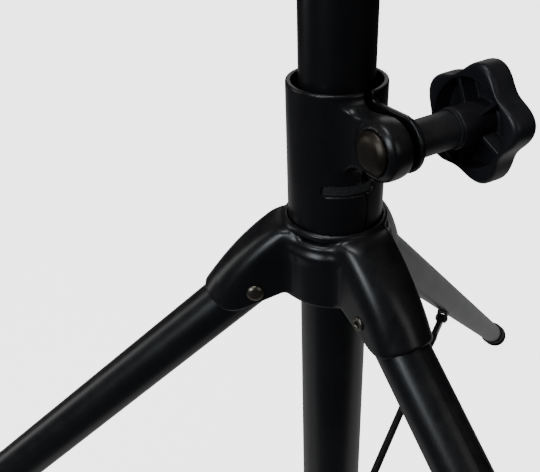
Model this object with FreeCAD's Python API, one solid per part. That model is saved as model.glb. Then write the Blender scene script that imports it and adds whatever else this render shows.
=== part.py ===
import FreeCAD, Part
import math
import os

from FreeCAD import Placement, Rotation, Vector

# Folding tripod music stand, millimetres, +Z up.
# The origin lies on the mast's axis at floor level. The reader stands at -Y and the single
# rear leg points to +Y. "Crown" is the point where the three leg axes meet the mast's axis.

# ---------------------------------------------------------------- legs and feet
LEG_HEADINGS = (90.0, -30.0, -150.0)
LEG_SLOPE = 48.7
LEG_D = 19.0
LEG_WALL = 1.2
LEG_END_REACH = 590.0
LEG_HEAD = 4.5
PIVOT_REACH = 40.0
FOOT_WALL = 2.2
FOOT_GRIP = 30.0
FOOT_FLOOR = 5.0
FOOT_FLAT = 1.8
FOOT_ROUND = 2.5

# ---------------------------------------------------------------- mast
MAST_D = 25.4
MAST_WALL = 1.5
MAST_TOP_Z = 720.0
MAST_TAIL = 30.0
PLUG_HEAD = 3.0
PLUG_LENGTH = 14.0
TOP_BUSH_WALL = 1.65
INNER_WALL = 1.2
INNER_BOTTOM_Z = 520.0
INNER_TOP_Z = 1080.0
GLIDE_LENGTH = 30.0
TOP_BUSH_LENGTH = 28.0

# ---------------------------------------------------------------- hub and its clamp sleeve
SLEEVE_WALL = 1.8
SLEEVE_SOFT = 0.5
BUSH_WALL = 2.35
SLEEVE_RISE = 50.2
SLEEVE_SEAT = 6.0
SLIT_HEADING = -150.0
SLIT_GAP = 2.9
SLOT_LOW = 15.0
SLOT_HIGH = 19.0
SLOT_ARC = (-52.0, 13.0)
SEAM_HEADING = 3.0
SEAM_GAP = 0.3
BUSH_RISE = 30.0
KEY_INSET = 0.6
HUB_LIP_WALL = 1.3
HUB_RING_WALL = 2.4
HUB_SKIRT_RIM = 3.7
HUB_SKIRT_DROP = 27.5
HUB_SKIRT_WALL = 3.0
HUB_WEB = 12.0
HUB_WEB_EDGE = 16.0
ARM_CHEEK = 1.4
# each ridge point: how far down the leg, and how far above the leg's own surface
ARM_RIDGE = ((12.9, 4.2), (33.3, 5.3), (56.5, 1.5))
ARM_END_LOW = (39.4, -36.3)
ARM_ROOT_LOW = (18.4, -26.7)
ARM_CORNER = 3.0
LEG_ROOM = 0.4

# ---------------------------------------------------------------- clamp screw, shared by both clamps
EAR_OUT = 14.1
EAR_RISE = 37.7
EAR_R = 9.2
EAR_NEAR = 8.7
EAR_FAR = 2.2
EAR_WEB = 5.4
EAR_SOFT = 1.8
EAR_ROOTS = (13.0, -11.5)
BOLT_D = 6.0
BOLT_HEAD_D = 14.0
BOLT_HEAD_H = 2.8
BOLT_SINK = 1.0
BOLT_NECK = 3.0
SPACER_D = 12.2
SPACER_LENGTH = 16.6
WASHER_D = 13.4
WASHER_T = 1.0
KNOB_R = 20.3
KNOB_LOBES = 5
KNOB_LOBE_DEPTH = 0.198
KNOB_PHASE = -9.7
KNOB_THICK = 9.9
KNOB_BOSS_D = 13.8
KNOB_BOSS_LEAD = 6.9
KNOB_RECESS_D = 29.2
KNOB_FLOOR = 2.6
KNOB_RIB_T = 1.4
KNOB_RIB_SINK = 1.2
KNOB_ROUND = 2.2
INSERT_WALL = 1.45
INSERT_LENGTH = 9.0

# ---------------------------------------------------------------- rivets, braces and their collar
RIVET_D = 4.0
RIVET_HEAD_D = 6.6
RIVET_HEAD_H = 1.5
RIVET_ROLL_D = 5.0
RIVET_ROLL_H = 0.7
RIVET_HOLE_D = 2.2
BRACE_D = 4.4
BRACE_REACH = 257.0
BRACE_STAND = 4.5
BRACE_EYE_T = 3.2
BRACE_EYE_R = 3.0
BRACE_FLAT = 16.0
BRACE_PIN_D = 2.5
BRACKET_T = 1.5
BRACKET_LENGTH = 13.0
HOOK_OUT = 13.0
HOOK_DROP = 213.0
HOOK_PIN_D = 3.0
HOOK_EAR_T = 2.0
HOOK_GAP = 5.0
COLLAR_WALL = 6.3
COLLAR_HEIGHT = 20.0
COLLAR_LIFT = 5.0
COLLAR_SCREW_D = 4.0
COLLAR_SCREW_HEAD_D = 7.5
COLLAR_SCREW_HEAD_H = 2.2
COLLAR_SPOT = 0.5

# ---------------------------------------------------------------- upper clamp
UPPER_WALL = 4.2
UPPER_GRIP = 30.0
UPPER_HEIGHT = 56.0
UPPER_HEADING = 90.0
UPPER_SLIT = 24.0
UPPER_SCREW_DROP = 12.0
UPPER_ROOTS = (10.0, -9.0)

# ---------------------------------------------------------------- tilt head and desk
TONGUE_T = 8.0
TONGUE_W = 22.0
TILT_Z = 1104.0
POST_PLUG = 30.0
POST_FLANGE_T = 3.0
POST_FLANGE_RIM = 2.0
TILT_WASHER_T = 0.8
TILT_WASHER_D = 20.0
YOKE_T = 2.5
YOKE_EAR_R = 13.0
YOKE_REACH = 28.0
YOKE_WIDTH = 90.0
YOKE_HEIGHT = 80.0
YOKE_CORNER = 8.0
YOKE_RIVET_IN = 10.0
DESK_TILT = 20.0
DESK_WIDTH = 480.0
DESK_HEIGHT = 330.0
DESK_T = 1.5
DESK_CORNER = 28.0
DESK_ABOVE = 190.0
DESK_HEM = 9.0
SLOT_COLUMNS = 5
SLOT_ROWS = 3
SLOT_PITCH_X = 84.0
SLOT_PITCH_Z = 78.0
SLOT_LENGTH = 58.0
SLOT_WIDTH = 12.0
LEDGE_DEPTH = 48.0
LEDGE_LIP = 16.0
LEDGE_TAB = 22.0
LEDGE_T = 1.5
LEDGE_WIDTH = 440.0
LEDGE_LIFT = 4.0
LEDGE_RIVET_PITCH = 90.0
LEDGE_RIVETS = 5
DESK_RIVET_D = 4.0
DESK_RIVET_HEAD_H = 1.4
DESK_RIVET_TAIL_H = 1.2

# ---------------------------------------------------------------- clearances
RUN = 0.05
FREE = 0.3
SINK = 0.6

X_AXIS = Vector(1, 0, 0)
Y_AXIS = Vector(0, 1, 0)
Z_AXIS = Vector(0, 0, 1)
SLOPE = math.radians(LEG_SLOPE)
SLEEVE_D = MAST_D + 2 * (RUN + BUSH_WALL + SLEEVE_WALL)
UPPER_D = MAST_D + 2 * UPPER_WALL
COLLAR_D = MAST_D + 2 * COLLAR_WALL
INNER_D = MAST_D - 2 * (MAST_WALL + TOP_BUSH_WALL + RUN)
INSERT_D = BOLT_D + 2 * (RUN + INSERT_WALL)
FOOT_D = LEG_D + 2 * FOOT_WALL
ARM_WIDTH = LEG_D + 2 * (LEG_ROOM + ARM_CHEEK)
BRACE_DROP = LEG_D / 2 + BRACE_STAND
HOOK_R = COLLAR_D / 2 + HOOK_OUT
EAR_REACH = SLEEVE_D / 2 + EAR_OUT
FOOT_END = LEG_END_REACH + FOOT_FLOOR
CROWN_Z = FOOT_END * math.cos(SLOPE) + FOOT_D / 2 * math.sin(SLOPE) - FOOT_FLAT
COLLAR_Z = CROWN_Z - HOOK_DROP
NEAR_FACE = -SLIT_GAP / 2 - EAR_NEAR
FAR_FACE = SLIT_GAP / 2 + EAR_FAR
WASHER_AT = FAR_FACE + SPACER_LENGTH
KNOB_AT = WASHER_AT + WASHER_T + RUN


# ---------------------------------------------------------------- general shapes
def rod(radius, length, start=Vector(), axis=Z_AXIS):
    """A round bar."""
    return Part.makeCylinder(radius, length, start, axis)


def pipe(outer, inner, length, start=Vector(), axis=Z_AXIS):
    """A round bar with a bore."""
    return rod(outer, length, start, axis).cut(rod(inner, length, start, axis))


def box(low, high):
    """A box between two opposite corners."""
    return Part.makeBox(high[0] - low[0], high[1] - low[1], high[2] - low[2], Vector(*low))


def turned(profile):
    """A closed (radius, height) outline turned once round Z."""
    points = [Vector(r, 0, z) for r, z in profile]
    face = Part.Face(Part.makePolygon(points + points[:1]))
    return face.revolve(Vector(), Z_AXIS, 360)


def dome(radius, height):
    """A spherical cap that stands on Z=0 and bulges towards +Z."""
    ball_r = (radius * radius + height * height) / (2 * height)
    ball = Part.makeSphere(ball_r, Vector(0, 0, height - ball_r))
    return ball.common(rod(radius + 1, height + 1))


def at(shape, *placements):
    """A copy of a shape moved through placements, the innermost last."""
    place = Placement()
    for step in placements:
        place = place.multiply(step)
    moved = shape.copy()
    moved.transformShape(place.toMatrix(), True)
    return moved


def shift(x=0.0, y=0.0, z=0.0):
    return Placement(Vector(x, y, z), Rotation())


def spin(axis, degrees):
    return Placement(Vector(), Rotation(axis, degrees))


def fuse(shapes):
    """One clean solid from several that meet."""
    body = shapes[0]
    for other in shapes[1:]:
        body = body.fuse(other)
    return body.removeSplitter()


def softened(shape, radius, wanted):
    """Rounds the edges for which wanted(edge) holds."""
    edges = [edge for edge in shape.Edges if wanted(edge)]
    return shape.makeFillet(radius, edges)


def corner_arc(before, corner, after, radius):
    """The arc that rounds a corner between two straight lines."""
    to_before = (before - corner).normalize()
    to_after = (after - corner).normalize()
    half = to_before.getAngle(to_after) / 2
    middle = (to_before + to_after).normalize()
    centre = corner + middle * (radius / math.sin(half))
    setback = radius / math.tan(half)
    ends = corner + to_before * setback, corner + to_after * setback
    return Part.Arc(ends[0], centre - middle * radius, ends[1]).toShape()


def leg_frame(heading):
    """Local X runs down the leg, Y to its left and Z square above it, from the crown."""
    turn = spin(Z_AXIS, heading).multiply(spin(Y_AXIS, 90 - LEG_SLOPE))
    return shift(z=CROWN_Z).multiply(turn)


def side_frame(heading):
    """Local X runs level outwards under the leg, Y to its left and Z up, from the crown."""
    return shift(z=CROWN_Z).multiply(spin(Z_AXIS, heading))


def screw_frame(heading, height):
    """Local X runs from the mast's axis to the clamp's screw and Z along the screw."""
    turn = spin(Z_AXIS, heading).multiply(spin(X_AXIS, -90))
    return shift(z=height).multiply(turn)


def leg_point(along, above):
    """Level reach and rise, from the crown, of a point in the leg's own plane."""
    reach = along * math.sin(SLOPE) + above * math.cos(SLOPE)
    rise = -along * math.cos(SLOPE) + above * math.sin(SLOPE)
    return reach, rise


# ---------------------------------------------------------------- hub
def ridge_points():
    """Three points that the crest of each arm passes through."""
    levels = [leg_point(along, LEG_D / 2 + above) for along, above in ARM_RIDGE]
    return [Vector(reach, 0, rise) for reach, rise in levels]


def arm_blank():
    """One shroud arm before it is hollowed: flat cheeks under a round crest."""
    first, middle, last = ridge_points()
    crest = Part.Arc(first, middle, last).toShape().Curve
    centre, radius = crest.Center, crest.Radius
    half = ARM_WIDTH / 2
    core = radius - half
    foot = core - 3 * half
    section = [Part.makeLine(Vector(foot, -half, 0), Vector(core, -half, 0)),
               Part.Arc(Vector(core, -half, 0), Vector(radius, 0, 0), Vector(core, half, 0)).toShape(),
               Part.makeLine(Vector(core, half, 0), Vector(foot, half, 0)),
               Part.makeLine(Vector(foot, half, 0), Vector(foot, -half, 0))]
    start = math.degrees(math.atan2(first.z - centre.z, first.x - centre.x)) + 8
    end = math.degrees(math.atan2(last.z - centre.z, last.x - centre.x)) - 4
    face = at(Part.Face(Part.Wire(section)), shift(centre.x, 0, centre.z), spin(Y_AXIS, -start))
    arm = face.revolve(centre, Y_AXIS, start - end)
    low_end = Vector(ARM_END_LOW[0], 0, ARM_END_LOW[1])
    low_root = Vector(ARM_ROOT_LOW[0], 0, ARM_ROOT_LOW[1])
    brow = last + (last - low_end)
    corner = corner_arc(brow, low_end, low_root, ARM_CORNER)
    upper, lower = corner.Vertexes[0].Point, corner.Vertexes[-1].Point
    edges = [Part.makeLine(brow, upper), corner, Part.makeLine(lower, low_root)]
    edges += Part.makePolygon([low_root, Vector(0, 0, low_root.z), Vector(0, 0, half),
                               Vector(brow.x, 0, half), brow]).Edges
    outline = at(Part.Face(Part.Wire(edges)), shift(y=-half - 1)).extrude(Vector(0, ARM_WIDTH + 2, 0))
    return arm.common(outline)


def leg_room():
    """The space inside one arm that the leg fills and turns in, in the leg's own frame."""
    radius = LEG_D / 2 + LEG_ROOM
    swing = math.hypot(LEG_HEAD, LEG_D / 2) + LEG_ROOM
    reach = 2 * PIVOT_REACH
    channel = rod(radius, reach, Vector(PIVOT_REACH - LEG_HEAD - LEG_ROOM, 0, 0), X_AXIS)
    below = box((PIVOT_REACH, -radius, -3 * radius), (PIVOT_REACH + reach, radius, 0))
    ball = Part.makeSphere(swing, Vector(PIVOT_REACH, 0, 0))
    turning = ball.common(rod(swing + 1, 2 * radius, Vector(PIVOT_REACH, -radius, 0), Y_AXIS))
    return channel.fuse(below).fuse(turning)


def hub_casting():
    """Cast crown: a skirted ring that seats the sleeve, with three hollow arms."""
    bore = MAST_D / 2 + SINK
    seat = SLEEVE_D / 2
    skirt = seat + HUB_SKIRT_RIM
    lip = seat + HUB_LIP_WALL
    ring = seat + HUB_RING_WALL
    profile = [(0, 0.4), (lip - 0.8, 0.4), (lip, -0.4), (lip, -1.8), (lip - 0.6, -2.4),
               (ring - 0.6, -3.0), (ring, -3.7), (ring, -5.0), (skirt - 0.5, -7.6),
               (skirt, -9.0), (skirt, -HUB_SKIRT_DROP), (0, -HUB_SKIRT_DROP)]
    body = at(turned(profile), shift(z=CROWN_Z))
    for heading in LEG_HEADINGS:
        body = body.fuse(at(arm_blank(), side_frame(heading)))
    inner = skirt - HUB_SKIRT_WALL
    cavity = turned([(0, -HUB_SKIRT_DROP - 5), (inner, -HUB_SKIRT_DROP - 5), (inner, -HUB_WEB_EDGE),
                     (bore, -HUB_WEB), (0, -HUB_WEB)])
    body = body.cut(at(cavity, shift(z=CROWN_Z)))
    body = body.cut(rod(bore, 120, Vector(0, 0, CROWN_Z - 60)))
    body = body.cut(rod(seat, 60, Vector(0, 0, CROWN_Z - SLEEVE_SEAT)))
    for heading in LEG_HEADINGS:
        body = body.cut(at(leg_room(), leg_frame(heading)))
        hole = rod(RIVET_D / 2, 2 * ARM_WIDTH, Vector(PIVOT_REACH, -ARM_WIDTH, 0), Y_AXIS)
        body = body.cut(at(hole, leg_frame(heading)))
    return body.removeSplitter()


def leg_rivets():
    """Semi-tubular rivets that hinge the legs: a domed head left, a rolled end right."""
    half = ARM_WIDTH / 2
    rivets = []
    for heading in LEG_HEADINGS:
        head = at(dome(RIVET_HEAD_D / 2, RIVET_HEAD_H), spin(X_AXIS, -90))
        shank = rod(RIVET_D / 2, ARM_WIDTH + RIVET_ROLL_H, Vector(0, -ARM_WIDTH - RIVET_ROLL_H, 0), Y_AXIS)
        roll = rod(RIVET_ROLL_D / 2, RIVET_ROLL_H, Vector(0, -ARM_WIDTH - RIVET_ROLL_H, 0), Y_AXIS)
        hollow = rod(RIVET_HOLE_D / 2, 4.0, Vector(0, -ARM_WIDTH - RIVET_ROLL_H, 0), Y_AXIS)
        rivet = fuse([head, shank, roll]).cut(hollow)
        rivets.append(at(rivet, leg_frame(heading), shift(PIVOT_REACH, half, 0)))
    return Part.makeCompound(rivets)


# ---------------------------------------------------------------- clamp
def ear_plate(low, web_low, high, root_low, root_high, root_reach):
    """A rounded lug between two depths on the screw's axis, on a web that starts at a third."""
    centre = Vector(EAR_REACH, 0, web_low)
    head = rod(EAR_R, high - low, Vector(EAR_REACH, 0, low))
    tip = []
    for side, level in ((-1, root_high), (1, root_low)):
        dx = EAR_REACH - root_reach
        dy = -level
        length = math.hypot(dx, dy)
        tilt = math.atan2(dy, dx) + side * math.asin(EAR_R / length)
        run = math.sqrt(length * length - EAR_R * EAR_R)
        tip.append(Vector(root_reach + run * math.cos(tilt), level + run * math.sin(tilt), web_low))
    outline = [Vector(root_reach, root_high, web_low), tip[0], centre, tip[1],
               Vector(root_reach, root_low, web_low)]
    web = Part.Face(Part.makePolygon(outline + outline[:1])).extrude(Vector(0, 0, high - web_low))
    return head.fuse(web).removeSplitter()


def clamp_ears(sleeve_r, rise_low, rise_high):
    """Both lugs of a clamp in the screw's frame, where local Y points down."""
    web = -SLIT_GAP / 2 - EAR_WEB
    near = ear_plate(NEAR_FACE, web, -SLIT_GAP / 2, rise_low, rise_high, sleeve_r * 0.7)
    near = softened(near, EAR_SOFT, lambda e: e.BoundBox.ZLength < 0.01
                    and abs(e.BoundBox.ZMin - NEAR_FACE) < 0.01 and e.BoundBox.XMax > sleeve_r)
    far = ear_plate(SLIT_GAP / 2, SLIT_GAP / 2, FAR_FACE, rise_low, rise_high, sleeve_r * 0.7)
    sink = rod(BOLT_HEAD_D / 2 + FREE, BOLT_SINK + 1, Vector(EAR_REACH, 0, NEAR_FACE - 1))
    neck = box((EAR_REACH - BOLT_D / 2, -BOLT_D / 2, NEAR_FACE), (EAR_REACH + BOLT_D / 2, BOLT_D / 2,
               NEAR_FACE + BOLT_SINK + BOLT_NECK))
    hole = rod(BOLT_D / 2 + RUN, 40, Vector(EAR_REACH, 0, -20))
    return near.cut(sink).cut(neck).cut(hole), far.cut(hole)


def clamp_sleeve():
    """Split sleeve that grips the mast, with two lugs, a slit and a cross slot."""
    outer = SLEEVE_D / 2
    inner = outer - SLEEVE_WALL
    height = SLEEVE_RISE + SLEEVE_SEAT
    blank = rod(outer, height, Vector(0, 0, CROWN_Z - SLEEVE_SEAT))
    frame = screw_frame(SLIT_HEADING, CROWN_Z + EAR_RISE)
    near, far = clamp_ears(outer, *EAR_ROOTS)
    body = blank.fuse(at(near, frame)).fuse(at(far, frame))
    body = body.cut(rod(inner, height + 2, Vector(0, 0, CROWN_Z - SLEEVE_SEAT - 1)))
    body = softened(body.removeSplitter(), SLEEVE_SOFT, lambda e: e.BoundBox.ZLength < 0.01
                    and abs(e.BoundBox.ZMin - CROWN_Z - SLEEVE_RISE) < 0.01
                    and e.Length > 2 * math.pi * inner - 1)
    slit = box((0, -SLIT_GAP / 2, SLOT_LOW), (SLEEVE_D, SLIT_GAP / 2, SLEEVE_RISE + 10))
    body = body.cut(at(slit, side_frame(SLIT_HEADING)))
    seam = box((0, -SEAM_GAP / 2, -2 * SLEEVE_SEAT), (SLEEVE_D, SEAM_GAP / 2, SLOT_LOW + SEAM_GAP))
    body = body.cut(at(seam, side_frame(SLIT_HEADING + SEAM_HEADING)))
    return body.cut(cross_slot(outer + 0.05, 0.0)).removeSplitter()


def cross_slot(depth_r, inset):
    """The slot's space from the axis out to a radius, drawn in by an inset all round."""
    low = SLOT_LOW + inset
    high = SLOT_HIGH - inset
    start, end = SLOT_ARC
    edge = math.degrees(inset / depth_r)
    flat = Part.Face(Part.makePolygon([Vector(0, 0, low), Vector(depth_r, 0, low), Vector(depth_r, 0, high),
                                       Vector(0, 0, high), Vector(0, 0, low)]))
    sector = flat.revolve(Vector(), Z_AXIS, end - start - 2 * edge)
    return at(sector, side_frame(SLIT_HEADING), spin(Z_AXIS, start + edge))


def guide_bush():
    """Plastic liner between sleeve and mast, located by a key in the cross slot."""
    outer = SLEEVE_D / 2 - SLEEVE_WALL
    bore = MAST_D / 2 + RUN
    base = CROWN_Z - SLEEVE_SEAT
    height = SLEEVE_SEAT + BUSH_RISE
    body = pipe(outer, bore, height, Vector(0, 0, base))
    key = cross_slot(SLEEVE_D / 2 - KEY_INSET, FREE).cut(rod(bore + 1, 80, Vector(0, 0, CROWN_Z - 20)))
    body = body.fuse(key).removeSplitter()
    slit = box((0, -SLIT_GAP / 2, SLOT_HIGH), (SLEEVE_D, SLIT_GAP / 2, BUSH_RISE + 5))
    return body.cut(at(slit, side_frame(SLIT_HEADING)))


def clamp_bolt():
    """Carriage bolt in the screw's frame: domed head, square neck and long shank."""
    under_head = NEAR_FACE + BOLT_SINK
    head = at(dome(BOLT_HEAD_D / 2, BOLT_HEAD_H), shift(EAR_REACH, 0, under_head), spin(X_AXIS, 180))
    half = BOLT_D / 2
    neck = box((EAR_REACH - half, -half, under_head), (EAR_REACH + half, half, under_head + BOLT_NECK))
    tip = KNOB_AT + INSERT_LENGTH + 1
    shank = rod(half, tip - under_head, Vector(EAR_REACH, 0, under_head))
    return fuse([head, neck, shank])


def clamp_spacer():
    """Plain tube that carries the knob clear of the legs."""
    return pipe(SPACER_D / 2, BOLT_D / 2 + FREE, SPACER_LENGTH, Vector(EAR_REACH, 0, FAR_FACE))


def clamp_washer():
    """Thrust washer between spacer and knob."""
    return pipe(WASHER_D / 2, BOLT_D / 2 + FREE, WASHER_T, Vector(EAR_REACH, 0, WASHER_AT))


def lobed_outline(radius, height, phase):
    """A closed smooth curve of KNOB_LOBES lobes round the local Z axis."""
    points = []
    count = 12 * KNOB_LOBES
    for step in range(count):
        angle = 2 * math.pi * step / count
        swing = (1 - math.cos(KNOB_LOBES * (angle - math.radians(phase)))) / 2
        r = radius * (1 - KNOB_LOBE_DEPTH * swing)
        points.append(Vector(r * math.cos(angle), r * math.sin(angle), height))
    curve = Part.BSplineCurve()
    curve.interpolate(points, PeriodicFlag=True)
    return curve.toShape()


def star_knob(phase=KNOB_PHASE):
    """Star knob in its own frame: boss foot at Z=0, ribbed recess facing the clamp."""
    rim = KNOB_BOSS_LEAD
    top = rim + KNOB_THICK
    star = Part.Face(Part.Wire([lobed_outline(KNOB_R, rim, phase)])).extrude(Vector(0, 0, KNOB_THICK))
    star = star.makeFillet(KNOB_ROUND, star.Edges[:3])
    recess = pipe(KNOB_RECESS_D / 2, KNOB_BOSS_D / 2, KNOB_THICK - KNOB_FLOOR, Vector(0, 0, rim))
    ribs = []
    for lobe in range(KNOB_LOBES):
        rib = box((KNOB_BOSS_D / 2 - 1, -KNOB_RIB_T / 2, rim + KNOB_RIB_SINK),
                  (KNOB_RECESS_D / 2 + 1, KNOB_RIB_T / 2, top - KNOB_FLOOR))
        ribs.append(at(rib, spin(Z_AXIS, phase + (2 * lobe + 1) * 180 / KNOB_LOBES)))
    boss = rod(KNOB_BOSS_D / 2, top - KNOB_FLOOR)
    body = star.cut(recess)
    for part in [boss] + ribs:
        body = body.fuse(part)
    body = body.cut(rod(INSERT_D / 2, INSERT_LENGTH))
    return body.cut(rod(BOLT_D / 2 + SINK, INSERT_LENGTH + 3)).removeSplitter()


def knob_insert():
    """Brass nut moulded into a knob's boss."""
    return pipe(INSERT_D / 2, BOLT_D / 2 + RUN, INSERT_LENGTH)


def on_screw(shape):
    """Moves a knob part from its own frame onto the clamp's screw."""
    return at(shape, shift(EAR_REACH, 0, KNOB_AT))


# ---------------------------------------------------------------- mast
def main_tube():
    """Outer mast tube, which slides through the hub."""
    base = COLLAR_Z - MAST_TAIL
    return pipe(MAST_D / 2, MAST_D / 2 - MAST_WALL, MAST_TOP_Z - base, Vector(0, 0, base))


def tube_end_plug():
    """Moulded plug that closes the mast's lower end."""
    base = COLLAR_Z - MAST_TAIL
    inside = MAST_D / 2 - MAST_WALL
    head = rod(MAST_D / 2, PLUG_HEAD, Vector(0, 0, base - PLUG_HEAD))
    return fuse([head, rod(inside, PLUG_LENGTH, Vector(0, 0, base))])


def top_bush():
    """Plastic bush in the mast's upper end that guides the inner tube."""
    outer = MAST_D / 2 - MAST_WALL
    bore = INNER_D / 2 + RUN
    return pipe(outer, bore, TOP_BUSH_LENGTH, Vector(0, 0, MAST_TOP_Z - TOP_BUSH_LENGTH))


def inner_tube():
    """Telescoping tube that carries the desk."""
    length = INNER_TOP_Z - INNER_BOTTOM_Z
    return pipe(INNER_D / 2, INNER_D / 2 - INNER_WALL, length, Vector(0, 0, INNER_BOTTOM_Z))


def inner_glide():
    """Plastic glide on the foot of the inner tube, which can turn in it."""
    outer = MAST_D / 2 - MAST_WALL - RUN
    return pipe(outer, INNER_D / 2 + RUN, GLIDE_LENGTH, Vector(0, 0, INNER_BOTTOM_Z))


# ---------------------------------------------------------------- legs
def leg_tube(heading):
    """Leg tube with a cross hole for its rivet."""
    start = PIVOT_REACH - LEG_HEAD
    body = pipe(LEG_D / 2, LEG_D / 2 - LEG_WALL, LEG_END_REACH - start, Vector(start, 0, 0), X_AXIS)
    body = body.cut(rod(RIVET_D / 2 + RUN, 2 * LEG_D, Vector(PIVOT_REACH, -LEG_D, 0), Y_AXIS))
    return at(body, leg_frame(heading))


def foot_cap(heading):
    """Rubber cap with a moulded flat that rests on the floor."""
    start = LEG_END_REACH - FOOT_GRIP
    body = rod(FOOT_D / 2, FOOT_GRIP + FOOT_FLOOR, Vector(start, 0, 0), X_AXIS)
    body = softened(body, FOOT_ROUND, lambda e: e.BoundBox.XLength < 0.01 and e.BoundBox.XMin > start + 1)
    body = softened(body, 1.0, lambda e: e.BoundBox.XLength < 0.01 and e.BoundBox.XMin < start + 1)
    body = body.cut(rod(LEG_D / 2, FOOT_GRIP, Vector(start, 0, 0), X_AXIS))
    body = at(body, leg_frame(heading))
    return body.cut(box((-1000, -1000, -100), (1000, 1000, 0)))


def brace_bracket(heading):
    """Small saddle under the leg whose cheeks hold the brace's pin."""
    half = BRACE_EYE_T / 2 + FREE + BRACKET_T
    low = BRACE_DROP + BRACE_EYE_R + 0.5
    bridge = BRACE_DROP - BRACE_EYE_R - FREE
    cheek = box((BRACE_REACH - BRACKET_LENGTH / 2, -half, -low),
                (BRACE_REACH + BRACKET_LENGTH / 2, half, -LEG_D / 2 + 1.5))
    cheek = cheek.cut(rod(LEG_D / 2, 2 * BRACKET_LENGTH, Vector(BRACE_REACH - BRACKET_LENGTH, 0, 0), X_AXIS))
    gap = box((BRACE_REACH - BRACKET_LENGTH, -BRACE_EYE_T / 2 - FREE, -low - 1),
              (BRACE_REACH + BRACKET_LENGTH, BRACE_EYE_T / 2 + FREE, -bridge))
    gap = gap.fuse(rod(BRACE_EYE_R + FREE, BRACE_EYE_T + 2 * FREE,
                       Vector(BRACE_REACH, -BRACE_EYE_T / 2 - FREE, -BRACE_DROP), Y_AXIS))
    body = cheek.cut(gap)
    body = body.cut(rod(BRACE_PIN_D / 2, 20, Vector(BRACE_REACH, -10, -BRACE_DROP), Y_AXIS))
    return at(body, leg_frame(heading))


def brace_pin(heading):
    """Headed pin through the bracket and the brace's upper eye."""
    half = BRACE_EYE_T / 2 + FREE + BRACKET_T
    shank = rod(BRACE_PIN_D / 2, 2 * half, Vector(BRACE_REACH, -half, -BRACE_DROP), Y_AXIS)
    head_r = BRACE_PIN_D / 2 + 1
    ends = [at(dome(head_r, 0.9), shift(BRACE_REACH, side * half, -BRACE_DROP), spin(X_AXIS, -90 * side))
            for side in (1, -1)]
    return at(fuse([shank] + ends), leg_frame(heading))


def brace_rod(heading):
    """Round brace with flattened eyes, from the leg's bracket to the collar's hook."""
    reach, rise = leg_point(BRACE_REACH, -BRACE_DROP)
    run = HOOK_R - reach
    drop = -HOOK_DROP - rise
    length = math.hypot(run, drop)
    flat = box((0, -BRACE_EYE_T / 2, -BRACE_EYE_R), (BRACE_FLAT, BRACE_EYE_T / 2, BRACE_EYE_R))
    neck = Part.makeCone(BRACE_EYE_R, BRACE_D / 2, 8, Vector(BRACE_FLAT, 0, 0), X_AXIS)
    neck = neck.common(box((BRACE_FLAT, -BRACE_D / 2, -BRACE_EYE_R), (BRACE_FLAT + 8, BRACE_D / 2, BRACE_EYE_R)))
    eye = rod(BRACE_EYE_R, BRACE_EYE_T, Vector(0, -BRACE_EYE_T / 2, 0), Y_AXIS)
    shaft = rod(BRACE_D / 2, length - BRACE_FLAT - 4, Vector(BRACE_FLAT + 4, 0, 0), X_AXIS)
    hook = rod(BRACE_EYE_R, BRACE_D, Vector(length, -BRACE_D / 2, 0), Y_AXIS)
    body = fuse([eye, flat, neck, shaft, hook])
    body = body.cut(rod(BRACE_PIN_D / 2 + RUN, 10, Vector(0, -5, 0), Y_AXIS))
    body = body.cut(rod(HOOK_PIN_D / 2, 10, Vector(length, -5, 0), Y_AXIS))
    tilt = math.degrees(math.atan2(-drop, run))
    return at(body, side_frame(heading), shift(reach, 0, rise), spin(Y_AXIS, tilt))


def hook_pin(heading):
    """Pin pressed in the brace's lower eye, which hooks under the collar's ears."""
    half = HOOK_GAP / 2 + HOOK_EAR_T + 1
    return at(rod(HOOK_PIN_D / 2, 2 * half, Vector(HOOK_R, -half, -HOOK_DROP), Y_AXIS), side_frame(heading))


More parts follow.
